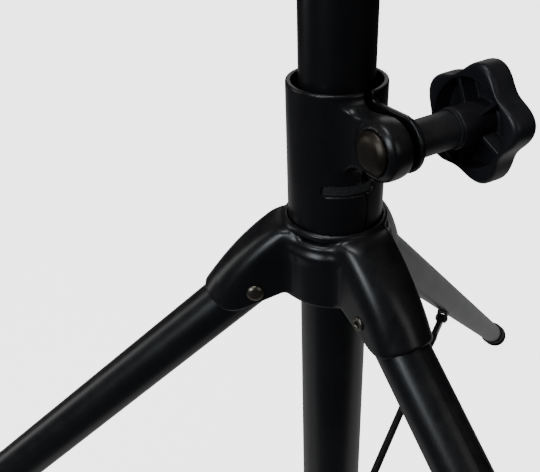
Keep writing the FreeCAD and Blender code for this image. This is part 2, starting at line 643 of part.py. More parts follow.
# ---------------------------------------------------------------- lower collar
def lower_collar():
    """Collar fixed near the mast's foot, with a pair of hooked ears for each brace."""
    low = -HOOK_DROP + COLLAR_LIFT
    body = rod(COLLAR_D / 2, COLLAR_HEIGHT, Vector(0, 0, CROWN_Z + low))
    ear_x = HOOK_R + HOOK_PIN_D / 2 + 3
    outer = HOOK_GAP / 2 + HOOK_EAR_T
    for heading in LEG_HEADINGS:
        outline = [Vector(0, 0, low), Vector(HOOK_R - 9, 0, low), Vector(HOOK_R - 5, 0, -HOOK_DROP - 1.0),
                   Vector(ear_x, 0, -HOOK_DROP - 3.0), Vector(ear_x, 0, low + 4),
                   Vector(COLLAR_D / 2, 0, low + COLLAR_HEIGHT - 3), Vector(0, 0, low + COLLAR_HEIGHT - 3)]
        plate = Part.Face(Part.makePolygon(outline + outline[:1]))
        plate = at(plate, shift(y=-outer)).extrude(Vector(0, 2 * outer, 0))
        slot_r = HOOK_PIN_D / 2 + FREE
        gap = box((COLLAR_D / 2 - 2, -HOOK_GAP / 2, -HOOK_DROP - 10), (ear_x + 5, HOOK_GAP / 2, low + COLLAR_HEIGHT))
        seat = rod(slot_r, 4 * outer, Vector(HOOK_R, -2 * outer, -HOOK_DROP), Y_AXIS)
        mouth = [Vector(HOOK_R - slot_r, 0, -HOOK_DROP), Vector(HOOK_R + slot_r, 0, -HOOK_DROP),
                 Vector(HOOK_R + slot_r, 0, -HOOK_DROP - 8), Vector(HOOK_R - slot_r - 6, 0, -HOOK_DROP - 8)]
        mouth = Part.Face(Part.makePolygon(mouth + mouth[:1]))
        mouth = at(mouth, shift(y=-2 * outer)).extrude(Vector(0, 4 * outer, 0))
        body = body.fuse(at(plate, side_frame(heading)))
        for space in (gap, seat, mouth):
            body = body.cut(at(space, side_frame(heading)))
    body = body.cut(rod(MAST_D / 2, 200, Vector(0, 0, CROWN_Z - HOOK_DROP - 60)))
    screw = rod(COLLAR_SCREW_D / 2, COLLAR_D, Vector(), X_AXIS)
    spot = rod(COLLAR_SCREW_HEAD_D / 2 + FREE, COLLAR_D, Vector(COLLAR_D / 2 - COLLAR_SPOT, 0, 0), X_AXIS)
    return body.cut(at(screw.fuse(spot), collar_screw_frame())).removeSplitter()


def collar_screw_frame():
    """Local X runs out through the collar's wall, between two legs."""
    return shift(z=COLLAR_Z + COLLAR_LIFT + COLLAR_HEIGHT / 2).multiply(spin(Z_AXIS, LEG_HEADINGS[0] + 180))


def collar_screw():
    """Screw that locks the collar to the mast."""
    seat = COLLAR_D / 2 - COLLAR_SPOT
    shank = rod(COLLAR_SCREW_D / 2, seat - MAST_D / 2, Vector(MAST_D / 2, 0, 0), X_AXIS)
    head = at(dome(COLLAR_SCREW_HEAD_D / 2, COLLAR_SCREW_HEAD_H), shift(x=seat), spin(Y_AXIS, 90))
    slot = box((seat + COLLAR_SCREW_HEAD_H / 2, -COLLAR_D, -0.5), (seat + COLLAR_D, COLLAR_D, 0.5))
    return at(fuse([shank, head]).cut(slot), collar_screw_frame())


# ---------------------------------------------------------------- upper clamp
def upper_frame():
    return screw_frame(UPPER_HEADING, MAST_TOP_Z - UPPER_GRIP + UPPER_HEIGHT - UPPER_SCREW_DROP)


def upper_clamp():
    """Collar pressed on the mast that grips the inner tube with a slit and two lugs."""
    base = MAST_TOP_Z - UPPER_GRIP
    body = rod(UPPER_D / 2, UPPER_HEIGHT, Vector(0, 0, base))
    near, far = clamp_ears(UPPER_D / 2, *UPPER_ROOTS)
    body = body.fuse(at(near, upper_frame())).fuse(at(far, upper_frame()))
    body = body.cut(rod(MAST_D / 2, UPPER_GRIP, Vector(0, 0, base)))
    body = body.cut(rod(INNER_D / 2 + RUN, 2 * UPPER_HEIGHT, Vector(0, 0, base)))
    slit = box((0, -SLIT_GAP / 2, base + UPPER_HEIGHT - UPPER_SLIT), (UPPER_D, SLIT_GAP / 2, base + 2 * UPPER_HEIGHT))
    return body.cut(at(slit, spin(Z_AXIS, UPPER_HEADING))).removeSplitter()


# ---------------------------------------------------------------- tilt head
def tilt_post():
    """Plug and flat tongue on top of the inner tube."""
    base = INNER_TOP_Z
    plug = rod(INNER_D / 2 - INNER_WALL, POST_PLUG, Vector(0, 0, base - POST_PLUG))
    flange = rod(INNER_D / 2 + POST_FLANGE_RIM, POST_FLANGE_T, Vector(0, 0, base))
    tongue = box((-TONGUE_T / 2, -TONGUE_W / 2, base), (TONGUE_T / 2, TONGUE_W / 2, TILT_Z))
    eye = rod(TONGUE_W / 2, TONGUE_T, Vector(-TONGUE_T / 2, 0, TILT_Z), X_AXIS)
    body = fuse([plug, flange, tongue, eye])
    return body.cut(rod(BOLT_D / 2 + RUN, 2 * TONGUE_T, Vector(-TONGUE_T, 0, TILT_Z), X_AXIS))


def tilt_washers():
    """Nylon washers on both faces of the tongue."""
    discs = []
    for side in (1, -1):
        start = Vector(side * (TONGUE_T / 2 + RUN), 0, TILT_Z)
        discs.append(pipe(TILT_WASHER_D / 2, BOLT_D / 2 + RUN, TILT_WASHER_T, start, X_AXIS * side))
    return Part.makeCompound(discs)


def desk_frame():
    """Local X across the desk, Y square out of its back and Z up the desk, from the tilt axis."""
    return shift(z=TILT_Z).multiply(spin(X_AXIS, -DESK_TILT))


def yoke_inner():
    return TONGUE_T / 2 + RUN + TILT_WASHER_T


def desk_yoke():
    """Pressed bracket: a plate riveted to the desk, with two ears round the tongue."""
    inner = yoke_inner()
    back = -YOKE_REACH + YOKE_T
    plate = box((-YOKE_WIDTH / 2, -YOKE_REACH, -YOKE_HEIGHT / 2), (YOKE_WIDTH / 2, back, YOKE_HEIGHT / 2))
    plate = softened(plate, YOKE_CORNER, lambda e: e.BoundBox.YLength > YOKE_T - 0.01 and e.BoundBox.XLength < 0.01
                     and e.BoundBox.ZLength < 0.01)
    parts = [plate]
    for low in (inner, -inner - YOKE_T):
        web = box((low, back, -YOKE_EAR_R), (low + YOKE_T, 0, YOKE_EAR_R))
        parts += [web, rod(YOKE_EAR_R, YOKE_T, Vector(low, 0, 0), X_AXIS)]
    body = fuse(parts)
    body = body.cut(rod(BOLT_D / 2, 60, Vector(-30, 0, 0), X_AXIS))
    for x, z in yoke_rivet_points():
        body = body.cut(rod(DESK_RIVET_D / 2, 10, Vector(x, -YOKE_REACH - 5, z), Y_AXIS))
    return at(body, desk_frame())


def yoke_rivet_points():
    """Where the yoke is riveted to the desk."""
    x = YOKE_WIDTH / 2 - YOKE_RIVET_IN
    z = YOKE_HEIGHT / 2 - YOKE_RIVET_IN
    return [(sx * x, sz * z) for sx in (1, -1) for sz in (1, -1)]


def tilt_bolt():
    """Bolt on the tilt axis, square under its head so that it turns with the yoke."""
    face = yoke_inner() + YOKE_T
    head = at(dome(BOLT_HEAD_D / 2, BOLT_HEAD_H), shift(x=-face), spin(Y_AXIS, -90))
    shank = rod(BOLT_D / 2, 2 * face + WASHER_T + RUN + INSERT_LENGTH + 1, Vector(-face, 0, 0), X_AXIS)
    return at(fuse([head, shank]), desk_frame())


def tilt_knob_washer():
    """Washer between the yoke and the tilt knob."""
    face = yoke_inner() + YOKE_T
    return at(pipe(WASHER_D / 2, BOLT_D / 2, WASHER_T, Vector(face, 0, 0), X_AXIS), desk_frame())


def on_tilt_axis(shape):
    """Moves a knob part onto the tilt bolt's free end."""
    face = yoke_inner() + YOKE_T + WASHER_T + RUN
    return at(shape, desk_frame(), shift(x=face), spin(Y_AXIS, 90))


# ---------------------------------------------------------------- desk
def slab(width, low, high, front, thick, corner):
    """A plate in the desk's frame with rounded corners."""
    plate = box((-width / 2, front, low), (width / 2, front + thick, high))
    return softened(plate, corner, lambda e: e.BoundBox.XLength < 0.01 and e.BoundBox.ZLength < 0.01)


def desk_plate():
    """Sheet desk with rounded corners, a turned hem and rows of long slots."""
    low = DESK_ABOVE - DESK_HEIGHT
    back = -YOKE_REACH
    front = back - DESK_T
    body = slab(DESK_WIDTH, low, DESK_ABOVE, front, DESK_T, DESK_CORNER)
    rim = slab(DESK_WIDTH, low, DESK_ABOVE, back, DESK_HEM, DESK_CORNER)
    rim = rim.cut(slab(DESK_WIDTH - 2 * DESK_T, low + DESK_T, DESK_ABOVE - DESK_T, back - 1, DESK_HEM + 2,
                       DESK_CORNER - DESK_T))
    body = body.fuse(rim)
    middle = (low + DESK_ABOVE) / 2
    half = (SLOT_LENGTH - SLOT_WIDTH) / 2
    for column in range(SLOT_COLUMNS):
        for row in range(SLOT_ROWS):
            x = (column - (SLOT_COLUMNS - 1) / 2) * SLOT_PITCH_X
            z = middle + (row - (SLOT_ROWS - 1) / 2) * SLOT_PITCH_Z
            if abs(x) < YOKE_WIDTH / 2 and abs(z) < YOKE_HEIGHT / 2 + SLOT_WIDTH:
                continue
            slot = box((x - half, front - 1, z - SLOT_WIDTH / 2), (x + half, back + 1, z + SLOT_WIDTH / 2))
            for end in (x - half, x + half):
                slot = slot.fuse(rod(SLOT_WIDTH / 2, DESK_T + 2, Vector(end, front - 1, z), Y_AXIS))
            body = body.cut(slot)
    for x, z in yoke_rivet_points() + ledge_rivet_points():
        body = body.cut(rod(DESK_RIVET_D / 2, 10, Vector(x, front - 5, z), Y_AXIS))
    return at(body.removeSplitter(), desk_frame())


def ledge_rivet_points():
    """Where the ledge is riveted to the desk."""
    z = DESK_ABOVE - DESK_HEIGHT + LEDGE_TAB / 2 + LEDGE_LIFT
    middle = (LEDGE_RIVETS - 1) / 2
    return [((number - middle) * LEDGE_RIVET_PITCH, z) for number in range(LEDGE_RIVETS)]


def desk_ledge():
    """Bent shelf in front of the desk: a riveted tab, a floor and a front lip."""
    half = LEDGE_WIDTH / 2
    low = DESK_ABOVE - DESK_HEIGHT + LEDGE_LIFT
    face = -YOKE_REACH - DESK_T
    tab = box((-half, face - LEDGE_T, low), (half, face, low + LEDGE_TAB))
    floor = box((-half, face - LEDGE_DEPTH, low), (half, face, low + LEDGE_T))
    lip = box((-half, face - LEDGE_DEPTH, low), (half, face - LEDGE_DEPTH + LEDGE_T, low + LEDGE_LIP))
    lip = softened(lip, 6.0, lambda e: e.BoundBox.XLength < 0.01 and e.BoundBox.ZLength < 0.01
                   and e.BoundBox.ZMin > low + 1)
    body = fuse([tab, floor, lip])
    for x, z in ledge_rivet_points():
        body = body.cut(rod(DESK_RIVET_D / 2, 10, Vector(x, face - 5, z), Y_AXIS))
    return at(body, desk_frame())


def plate_rivets(points, front, back):
    """Domed rivets through sheets that lie between two depths."""
    rivets = []
    for x, z in points:
        shank = rod(DESK_RIVET_D / 2, back - front, Vector(x, front, z), Y_AXIS)
        head = at(dome(DESK_RIVET_D, DESK_RIVET_HEAD_H), shift(x, front, z), spin(X_AXIS, 90))
        tail = at(dome(DESK_RIVET_D * 0.8, DESK_RIVET_TAIL_H), shift(x, back, z), spin(X_AXIS, -90))
        rivets.append(fuse([shank, head, tail]))
    return at(Part.makeCompound(rivets), desk_frame())


def yoke_rivets():
    return plate_rivets(yoke_rivet_points(), -YOKE_REACH - DESK_T, -YOKE_REACH + YOKE_T)


def ledge_rivets():
    return plate_rivets(ledge_rivet_points(), -YOKE_REACH - DESK_T - LEDGE_T, -YOKE_REACH)


# ---------------------------------------------------------------- assembly
def clamp_nodes(prefix, frame):
    """The screw, spacer, washer, knob and insert of one clamp."""
    makers = {"bolt": clamp_bolt(), "spacer": clamp_spacer(), "washer": clamp_washer(),
              "knob": on_screw(star_knob()), "knob_insert": on_screw(knob_insert())}
    return {f"{prefix}_{name}": at(shape, frame) for name, shape in makers.items()}


def assembly():
    """Every node of the stand, by name."""
    nodes = {
        "hub_casting": hub_casting(),
        "clamp_sleeve": clamp_sleeve(),
        "guide_bush": guide_bush(),
        "leg_rivets": leg_rivets(),
        "main_tube": main_tube(),
        "tube_end_plug": tube_end_plug(),
        "top_bush": top_bush(),
        "lower_collar": lower_collar(),
        "collar_screw": collar_screw(),
        "upper_clamp": upper_clamp(),
        "inner_tube": inner_tube(),
        "inner_glide": inner_glide(),
        "tilt_post": tilt_post(),
        "tilt_washers": tilt_washers(),
        "desk_yoke": desk_yoke(),
        "desk_plate": desk_plate(),
        "desk_ledge": desk_ledge(),
        "yoke_rivets": yoke_rivets(),
        "ledge_rivets": ledge_rivets(),
        "tilt_bolt": tilt_bolt(),
        "tilt_knob_washer": tilt_knob_washer(),
        "tilt_knob": on_tilt_axis(star_knob()),
        "tilt_knob_insert": on_tilt_axis(knob_insert()),
    }
    nodes.update(clamp_nodes("clamp", screw_frame(SLIT_HEADING, CROWN_Z + EAR_RISE)))
    nodes.update(clamp_nodes("height", upper_frame()))
    for number, heading in enumerate(LEG_HEADINGS, start=1):
        nodes[f"leg_tube_{number}"] = leg_tube(heading)
        nodes[f"foot_cap_{number}"] = foot_cap(heading)
        nodes[f"brace_bracket_{number}"] = brace_bracket(heading)
        nodes[f"brace_pin_{number}"] = brace_pin(heading)
        nodes[f"brace_rod_{number}"] = brace_rod(heading)
        nodes[f"hook_pin_{number}"] = hook_pin(heading)
    return nodes


os.makedirs("parts", exist_ok=True)
for node, shape in assembly().items():
    shape.exportStep(f"parts/{node}.step")
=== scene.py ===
"""Looks of a folding tripod music stand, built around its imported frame. Metres, +Z up."""
from __future__ import annotations

import logging
import math
from dataclasses import dataclass, field
from enum import Enum
from typing import Callable

import bmesh
import bpy
import numpy as np
from mathutils import Matrix, Vector


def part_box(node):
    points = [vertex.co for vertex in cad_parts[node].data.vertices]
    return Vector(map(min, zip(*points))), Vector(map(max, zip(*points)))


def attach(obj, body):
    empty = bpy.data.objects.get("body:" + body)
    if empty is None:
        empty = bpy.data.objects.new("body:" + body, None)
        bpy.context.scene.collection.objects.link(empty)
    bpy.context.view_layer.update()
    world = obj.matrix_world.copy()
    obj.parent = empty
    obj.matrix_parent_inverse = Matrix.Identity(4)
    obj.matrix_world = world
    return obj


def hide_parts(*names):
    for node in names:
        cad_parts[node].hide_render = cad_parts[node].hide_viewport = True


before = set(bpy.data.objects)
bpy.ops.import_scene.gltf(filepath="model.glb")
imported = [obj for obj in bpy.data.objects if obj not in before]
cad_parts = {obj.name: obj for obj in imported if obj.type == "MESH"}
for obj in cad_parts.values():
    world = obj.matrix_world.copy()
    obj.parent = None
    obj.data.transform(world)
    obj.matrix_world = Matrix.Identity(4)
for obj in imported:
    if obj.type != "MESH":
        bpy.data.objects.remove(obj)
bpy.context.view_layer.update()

LOG = logging.getLogger("music_stand")
MM = 0.001
Colour = tuple[float, float, float]
Grid = np.ndarray


# ---------------------------------------------------------------- meshes from grids
def merge_grids(grids: list[tuple[Grid, bool, bool]]) -> tuple[np.ndarray, np.ndarray]:
    """Joins point grids into one list of points and one list of four-sided faces.

    A grid of n by m points gives the faces (i, j), (i+1, j), (i+1, j+1), (i, j+1), and wraps
    round along either direction where that direction is closed.

    Args:
        grids: each grid with whether its first and its second direction close on themselves.

    Returns:
        All points as rows and all faces as rows of four point numbers.
    """
    points, faces, count = [], [], 0
    for grid, wrap_u, wrap_v in grids:
        n, m = grid.shape[:2]
        rows, columns = np.arange(n if wrap_u else n - 1), np.arange(m if wrap_v else m - 1)
        i, j = np.meshgrid(rows, columns, indexing="ij")
        i1, j1 = (i + 1) % n, (j + 1) % m
        quad = np.stack([i * m + j, i1 * m + j, i1 * m + j1, i * m + j1], axis=-1)
        faces.append(quad.reshape(-1, 4) + count)
        points.append(grid.reshape(-1, 3))
        count += n * m
    return np.concatenate(points), np.concatenate(faces)


def new_piece(name: str, grids: list[tuple[Grid, bool, bool]],
              material: bpy.types.Material) -> bpy.types.Object:
    """Makes a smooth mesh object from grids, with doubled points merged and faces outwards.

    Args:
        name: the piece's name.
        grids: as merge_grids takes them, in metres in the row frame.
        material: its one material.

    Returns:
        The new object, at the origin.
    """
    points, faces = merge_grids(grids)
    mesh = bpy.data.meshes.new(name)
    mesh.from_pydata(points.tolist(), [], faces.tolist())
    piece = bpy.data.objects.new(name, mesh)
    bpy.context.scene.collection.objects.link(piece)
    clean_mesh(mesh, 1e-6)
    mesh.materials.append(material)
    return piece


def clean_mesh(mesh: bpy.types.Mesh, reach: float) -> None:
    """Merges points nearer than reach, turns faces outwards and shades the mesh smooth by angle."""
    work = bmesh.new()
    work.from_mesh(mesh)
    bmesh.ops.remove_doubles(work, verts=work.verts, dist=reach)
    bmesh.ops.dissolve_degenerate(work, edges=work.edges, dist=reach)
    bmesh.ops.recalc_face_normals(work, faces=work.faces)
    work.to_mesh(mesh)
    work.free()
    mesh.shade_smooth()
    mesh.set_sharp_from_angle(angle=math.radians(38))


def placed(grid: Grid, place: Matrix) -> Grid:
    """The grid's points carried by a placement: p' = R p + t."""
    matrix = np.array(place)
    return grid @ matrix[:3, :3].T + matrix[:3, 3]


def leg_place(heading: float, slope: float, crown_z: float) -> Matrix:
    """A leg's frame at the crown: X down the leg, Y to its left and Z square above it."""
    turn = Matrix.Rotation(math.radians(heading), 4, "Z") @ Matrix.Rotation(math.radians(90 - slope), 4, "Y")
    return Matrix.Translation((0.0, 0.0, crown_z)) @ turn


def screw_place(heading: float, height: float, reach: float) -> Matrix:
    """A clamp screw's frame: X away from the mast, Y down and Z along the screw."""
    turn = Matrix.Rotation(math.radians(heading), 4, "Z")
    return (Matrix.Translation((0.0, 0.0, height)) @ turn @ Matrix.Translation((reach * MM, 0.0, 0.0))
            @ Matrix.Rotation(math.radians(-90), 4, "X"))


def rounded_profile(corners: list[tuple[float | np.ndarray, float, float]], steps: int = 5) -> np.ndarray:
    """A (radius, height) outline with rounded corners, which may differ round the turn.

    Each corner (r, z, round) becomes the quadratic curve from a point `round` before it to a
    point `round` after it: p(t) = (1-t)^2 a + 2t(1-t) corner + t^2 b.

    Args:
        corners: radius, height and rounding of each corner, in order; a radius may be an
            array with one value for each direction round the axis.
        steps: pieces in each rounding.

    Returns:
        The outlines' points, as directions by points by (radius, height).
    """
    count = max(np.size(corner[0]) for corner in corners)
    place = [np.stack([np.broadcast_to(c[0], count), np.full(count, c[1])], axis=-1) for c in corners]
    rows = [place[0]]
    for k in range(1, len(corners) - 1):
        corner, size = place[k], corners[k][2]
        if size <= 0:
            rows.append(corner)
            continue
        sides = []
        for other in (place[k - 1], place[k + 1]):
            leg = other - corner
            length = np.linalg.norm(leg, axis=-1, keepdims=True)
            sides.append(corner + leg / length * np.minimum(size, length / 2))
        rows.extend((1 - t) ** 2 * sides[0] + 2 * t * (1 - t) * corner + t ** 2 * sides[1]
                    for t in np.linspace(0, 1, steps + 1))
    rows.append(place[-1])
    return np.stack(rows, axis=1)


def turned_grid(profile: np.ndarray, count: int) -> Grid:
    """A profile turned round Z: (u, v) gives (r(u, v) cos u, r(u, v) sin u, z(u, v)), u once round."""
    angle = np.linspace(0, 2 * math.pi, count, endpoint=False)[:, None]
    radius, height = profile[:, :, 0], profile[:, :, 1]
    return np.stack([radius * np.cos(angle), radius * np.sin(angle), height + 0 * angle], axis=-1)


def rib_grid(start: float, end: float, width: float, low: float, high: float) -> Grid:
    """A straight rib along X: its section is |y/a|^8 + |z/b|^8 = 1, drawn to a point at each end."""
    angle = np.linspace(0, 2 * math.pi, 24, endpoint=False)
    across = np.sign(np.cos(angle)) * np.abs(np.cos(angle)) ** 0.25 * width / 2
    rise = np.sign(np.sin(angle)) * np.abs(np.sin(angle)) ** 0.25 * (high - low) / 2
    along = np.array([start, start, end, end])[:, None]
    scale = np.array([0.0, 1.0, 1.0, 0.0])[:, None]
    return np.stack([along + 0 * across, across * scale, (high + low) / 2 + rise * scale], axis=-1)


# ---------------------------------------------------------------- blended solids
def smooth_join(a: np.ndarray, b: np.ndarray, blend: float) -> np.ndarray:
    """Distance to two shapes grown together: min(a, b) - blend/4 * max(0, 1 - |a-b|/blend)^2."""
    near = np.maximum(0.0, 1.0 - np.abs(a - b) / blend)
    return np.minimum(a, b) - blend / 4 * near * near


def smooth_cut(a: np.ndarray, b: np.ndarray, blend: float) -> np.ndarray:
    """Distance to a with b taken away, its new edges rounded: the join of -a and b, turned over."""
    return -smooth_join(-a, b, blend)


def smooth_meet(a: np.ndarray, b: np.ndarray, blend: float) -> np.ndarray:
    """Distance to what a and b share, its edges rounded."""
    return -smooth_join(-a, -b, blend)


def bar(x: np.ndarray, y: np.ndarray, z: np.ndarray, radius: float, low: float, high: float,
        round_off: float = 0.0) -> np.ndarray:
    """Distance to a round bar along z from low to high, its rims rounded."""
    side = np.hypot(x, y) - (radius - round_off)
    end = np.abs(z - (low + high) / 2) - ((high - low) / 2 - round_off)
    outside = np.hypot(np.maximum(side, 0.0), np.maximum(end, 0.0))
    return outside + np.minimum(np.maximum(side, end), 0.0) - round_off


def surface_net(value: Callable[[np.ndarray, np.ndarray, np.ndarray], np.ndarray], low: Colour, high: Colour,
                step: float) -> tuple[np.ndarray, np.ndarray]:
    """The surface on which a distance function is nought.

    Space is cut into cells of size step. Each cell that the surface crosses gets one point, the
    mean of the crossings a + f(a) / (f(a) - f(b)) of its edges, and each crossed edge joins the
    points of its four cells with one face.

    Args:
        value: distance as a function of x, y and z; negative inside.
        low: lowest corner of the space looked at.
        high: highest corner.
        step: the cells' size.

    Returns:
        The points as rows and the four-sided faces as rows of point numbers.
    """
    axes = [np.arange(a, b + step, step) for a, b in zip(low, high)]
    f = value(*np.meshgrid(*axes, indexing="ij")).astype(np.float32)
    inside = f < 0
    cells = tuple(n - 1 for n in f.shape)
    total, count = np.zeros((*cells, 3), np.float32), np.zeros(cells, np.float32)
    crossings = []
    for axis in range(3):
        head = [slice(None)] * 3
        tail = [slice(None)] * 3
        head[axis], tail[axis] = slice(0, -1), slice(1, None)
        f0, f1 = f[tuple(head)], f[tuple(tail)]
        cross = inside[tuple(head)] != inside[tuple(tail)]
        share = np.where(cross, f0 / np.where(cross, f0 - f1, 1.0), 0.0)
        crossings.append((cross, inside[tuple(head)]))
        others = [k for k in range(3) if k != axis]
        for da in (0, 1):
            for db in (0, 1):
                pick = [slice(None)] * 3
                pick[others[0]] = slice(da, da + cells[others[0]])
                pick[others[1]] = slice(db, db + cells[others[1]])
                hit = cross[tuple(pick)]
                count += hit
                total[..., axis] += np.where(hit, share[tuple(pick)], 0)
                total[..., others[0]] += hit * da
                total[..., others[1]] += hit * db
    used = count > 0
    number = np.full(cells, -1, np.int64)
    number[used] = np.arange(used.sum())
    points = (np.argwhere(used) + total[used] / count[used][:, None]) * step + np.array(low)
    faces = []
    for axis in range(3):
        a, b = [k for k in range(3) if k != axis]
        cross, starts_in = crossings[axis]
        inner = [slice(None)] * 3
        inner[a], inner[b] = slice(1, -1), slice(1, -1)
        cross, starts_in = cross[tuple(inner)], starts_in[tuple(inner)]
        corner = []
        for da, db in ((0, 0), (1, 0), (1, 1), (0, 1)):
            pick = [slice(None)] * 3
            pick[a] = slice(da, da + cells[a] - 1)
            pick[b] = slice(db, db + cells[b] - 1)
            corner.append(number[tuple(pick)][cross])
        quad = np.stack(corner, axis=-1)
        flip = starts_in[cross] == (axis == 1)
        quad[flip] = quad[flip][:, ::-1]
        faces.append(quad)
    return points, np.concatenate(faces)


def blended_piece(name: str, points: np.ndarray, faces: np.ndarray, place: Matrix,
                  material: bpy.types.Material) -> bpy.types.Object:
    """Makes a smooth piece from a surface net in millimetres.

    Args:
        name: the piece's name.
        points: its points in millimetres in a local frame.
        faces: its four-sided faces.
        place: the local frame in the row frame, in metres.
        material: its material.

    Returns:
        The new object, at the origin.
    """
    mesh = bpy.data.meshes.new(name)
    mesh.from_pydata(placed(points * MM, place).tolist(), [], faces.tolist())
    mesh.shade_smooth()
    piece = bpy.data.objects.new(name, mesh)
    bpy.context.scene.collection.objects.link(piece)
    mesh.materials.append(material)
    return piece


# ---------------------------------------------------------------- shader building
class Wiring:
    """A node tree with short ways to add and join its nodes."""

    def __init__(self, tree: bpy.types.NodeTree) -> None:
        """Keeps the tree."""
        self.tree = tree

    def node(self, kind: str, values: dict[str, object] | None = None, **settings: object) -> bpy.types.Node:
        """Adds a node.

        Args:
            kind: the node's type without its ShaderNode prefix.
            values: starting values or source sockets of its inputs, by name.
            settings: attributes of the node.

        Returns:
            The new node.
        """
        made = self.tree.nodes.new("ShaderNode" + kind)
        for key, value in settings.items():
            setattr(made, key, value)
        for key, value in (values or {}).items():
            socket = made.inputs[int(key[1:])] if key.startswith("#") else made.inputs[key]
            if isinstance(value, bpy.types.NodeSocket):
                self.tree.links.new(value, socket)
            else:
                socket.default_value = value
        return made

    def math(self, operation: str, a: object, b: object = 0.0, clamp: bool = False) -> bpy.types.NodeSocket:
        """The result of a Math node on two values or sockets."""
        return self.node("Math", {"#0": a, "#1": b}, operation=operation, use_clamp=clamp).outputs[0]

    def span(self, value: object, low: float, high: float, start: float = 0.0,
             end: float = 1.0) -> bpy.types.NodeSocket:
        """The value mapped from low..high to start..end and held there."""
        return self.node("MapRange", {"Value": value, "From Min": low, "From Max": high, "To Min": start,
                                      "To Max": end}).outputs["Result"]

    def noise(self, where: object, scale: object, detail: float = 2.0,
              rough: float = 0.5) -> bpy.types.NodeSocket:
        """The factor of a Noise Texture."""
        return self.node("TexNoise", {"Vector": where, "Scale": scale, "Detail": detail,
                                      "Roughness": rough}).outputs["Fac"]

    def mix(self, factor: object, a: object, b: object) -> bpy.types.NodeSocket:
        """Two colours mixed by a factor."""
        made = self.node("Mix", {"#0": factor, "#6": a, "#7": b}, data_type="RGBA")
        return made.outputs[2]


class Effect(Enum):
    """Surface effects shared by several finishes."""

    COAT = "powder_coat_grain"
    DUST = "settled_dust"
    EDGE = "worn_edges"
    SCUFF = "fine_scuffs"


def new_group(effect: Effect, inputs: dict[str, float],
              outputs: dict[str, str]) -> tuple[Wiring, bpy.types.Node, bpy.types.Node]:
    """An empty shader group with its sockets.

    Args:
        effect: the effect that names it.
        inputs: its number inputs and their starting values.
        outputs: its outputs and their socket types.

    Returns:
        The group's wiring, its input node and its output node.
    """
    tree = bpy.data.node_groups.new(effect.value, "ShaderNodeTree")
    for name, value in inputs.items():
        socket = tree.interface.new_socket(name=name, in_out="INPUT", socket_type="NodeSocketFloat")
        socket.default_value = value
    for name, kind in outputs.items():
        tree.interface.new_socket(name=name, in_out="OUTPUT", socket_type=kind)
    wiring = Wiring(tree)
    return wiring, tree.nodes.new("NodeGroupInput"), tree.nodes.new("NodeGroupOutput")


def coat_group() -> bpy.types.NodeTree:
    """Height and gloss of a sprayed coat: fine grain on broad, low waves."""
    w, source, sink = new_group(Effect.COAT, {"Grain": 3200.0, "Waves": 420.0, "Wave Depth": 0.5},
                                {"Height": "NodeSocketFloat", "Gloss": "NodeSocketFloat"})
    where = w.node("TexCoord").outputs["Object"]
    grain = w.noise(where, source.outputs["Grain"], 1.0)
    waves = w.noise(where, source.outputs["Waves"], 2.0)
    height = w.math("ADD", grain, w.math("MULTIPLY", waves, source.outputs["Wave Depth"]))
    gloss = w.noise(where, 38.0, 3.0, 0.6)
    w.tree.links.new(height, sink.inputs["Height"])
    w.tree.links.new(w.span(gloss, 0.3, 0.7), sink.inputs["Gloss"])
    return w.tree


def dust_group() -> bpy.types.NodeTree:
    """Mask of dust that settles on faces that look up, broken by noise."""
    w, source, sink = new_group(Effect.DUST, {"Amount": 0.3, "Scale": 160.0}, {"Mask": "NodeSocketFloat"})
    normal = w.node("NewGeometry").outputs["Normal"]
    up = w.span(w.node("SeparateXYZ", {"Vector": normal}).outputs["Z"], 0.1, 1.0)
    where = w.node("TexCoord").outputs["Object"]
    cloud = w.span(w.noise(where, source.outputs["Scale"], 4.0, 0.65), 0.35, 0.75)
    specks = w.span(w.noise(where, 1500.0, 2.0, 0.5), 0.62, 0.72)
    both = w.math("ADD", w.math("MULTIPLY", cloud, 0.7), w.math("MULTIPLY", specks, 0.6), clamp=True)
    mask = w.math("MULTIPLY", w.math("MULTIPLY", up, both), source.outputs["Amount"], clamp=True)
    w.tree.links.new(mask, sink.inputs["Mask"])
    return w.tree


def edge_group() -> bpy.types.NodeTree:
    """Mask of rubbed edges: where a softened normal leaves the true one, broken by noise."""
    w, source, sink = new_group(Effect.EDGE, {"Reach": 0.0005, "Amount": 0.5},
                                {"Mask": "NodeSocketFloat", "Normal": "NodeSocketVector"})
    soft = w.node("Bevel", {"Radius": source.outputs["Reach"]}, samples=6).outputs["Normal"]
    true = w.node("NewGeometry").outputs["Normal"]
    agree = w.node("VectorMath", {"#0": soft, "#1": true}, operation="DOT_PRODUCT").outputs["Value"]
    rub = w.span(agree, 0.995, 0.86)
    where = w.node("TexCoord").outputs["Object"]
    broken = w.span(w.noise(where, 300.0, 4.0, 0.7), 0.42, 0.62)
    mask = w.math("MULTIPLY", w.math("MULTIPLY", rub, broken), source.outputs["Amount"], clamp=True)
    w.tree.links.new(mask, sink.inputs["Mask"])
    w.tree.links.new(soft, sink.inputs["Normal"])
    return w.tree


def scuff_group() -> bpy.types.NodeTree:
    """Mask of thin marks: stretched noise kept only near its middle value."""
    w, source, sink = new_group(Effect.SCUFF, {"Scale": 60.0, "Amount": 0.4}, {"Mask": "NodeSocketFloat"})
    where = w.node("TexCoord").outputs["Object"]
    bent = w.node("Mapping", {"Vector": where, "Rotation": (0.5, 0.9, 0.3), "Scale": (1.0, 9.0, 9.0)})
    lines = w.noise(bent.outputs["Vector"], source.outputs["Scale"], 3.0, 0.55)
    thin = w.span(w.math("ABSOLUTE", w.math("SUBTRACT", lines, 0.5)), 0.012, 0.0)
    patch = w.span(w.noise(where, 25.0, 2.0), 0.5, 0.66)
    mask = w.math("MULTIPLY", w.math("MULTIPLY", thin, patch), source.outputs["Amount"], clamp=True)
    w.tree.links.new(mask, sink.inputs["Mask"])
    return w.tree


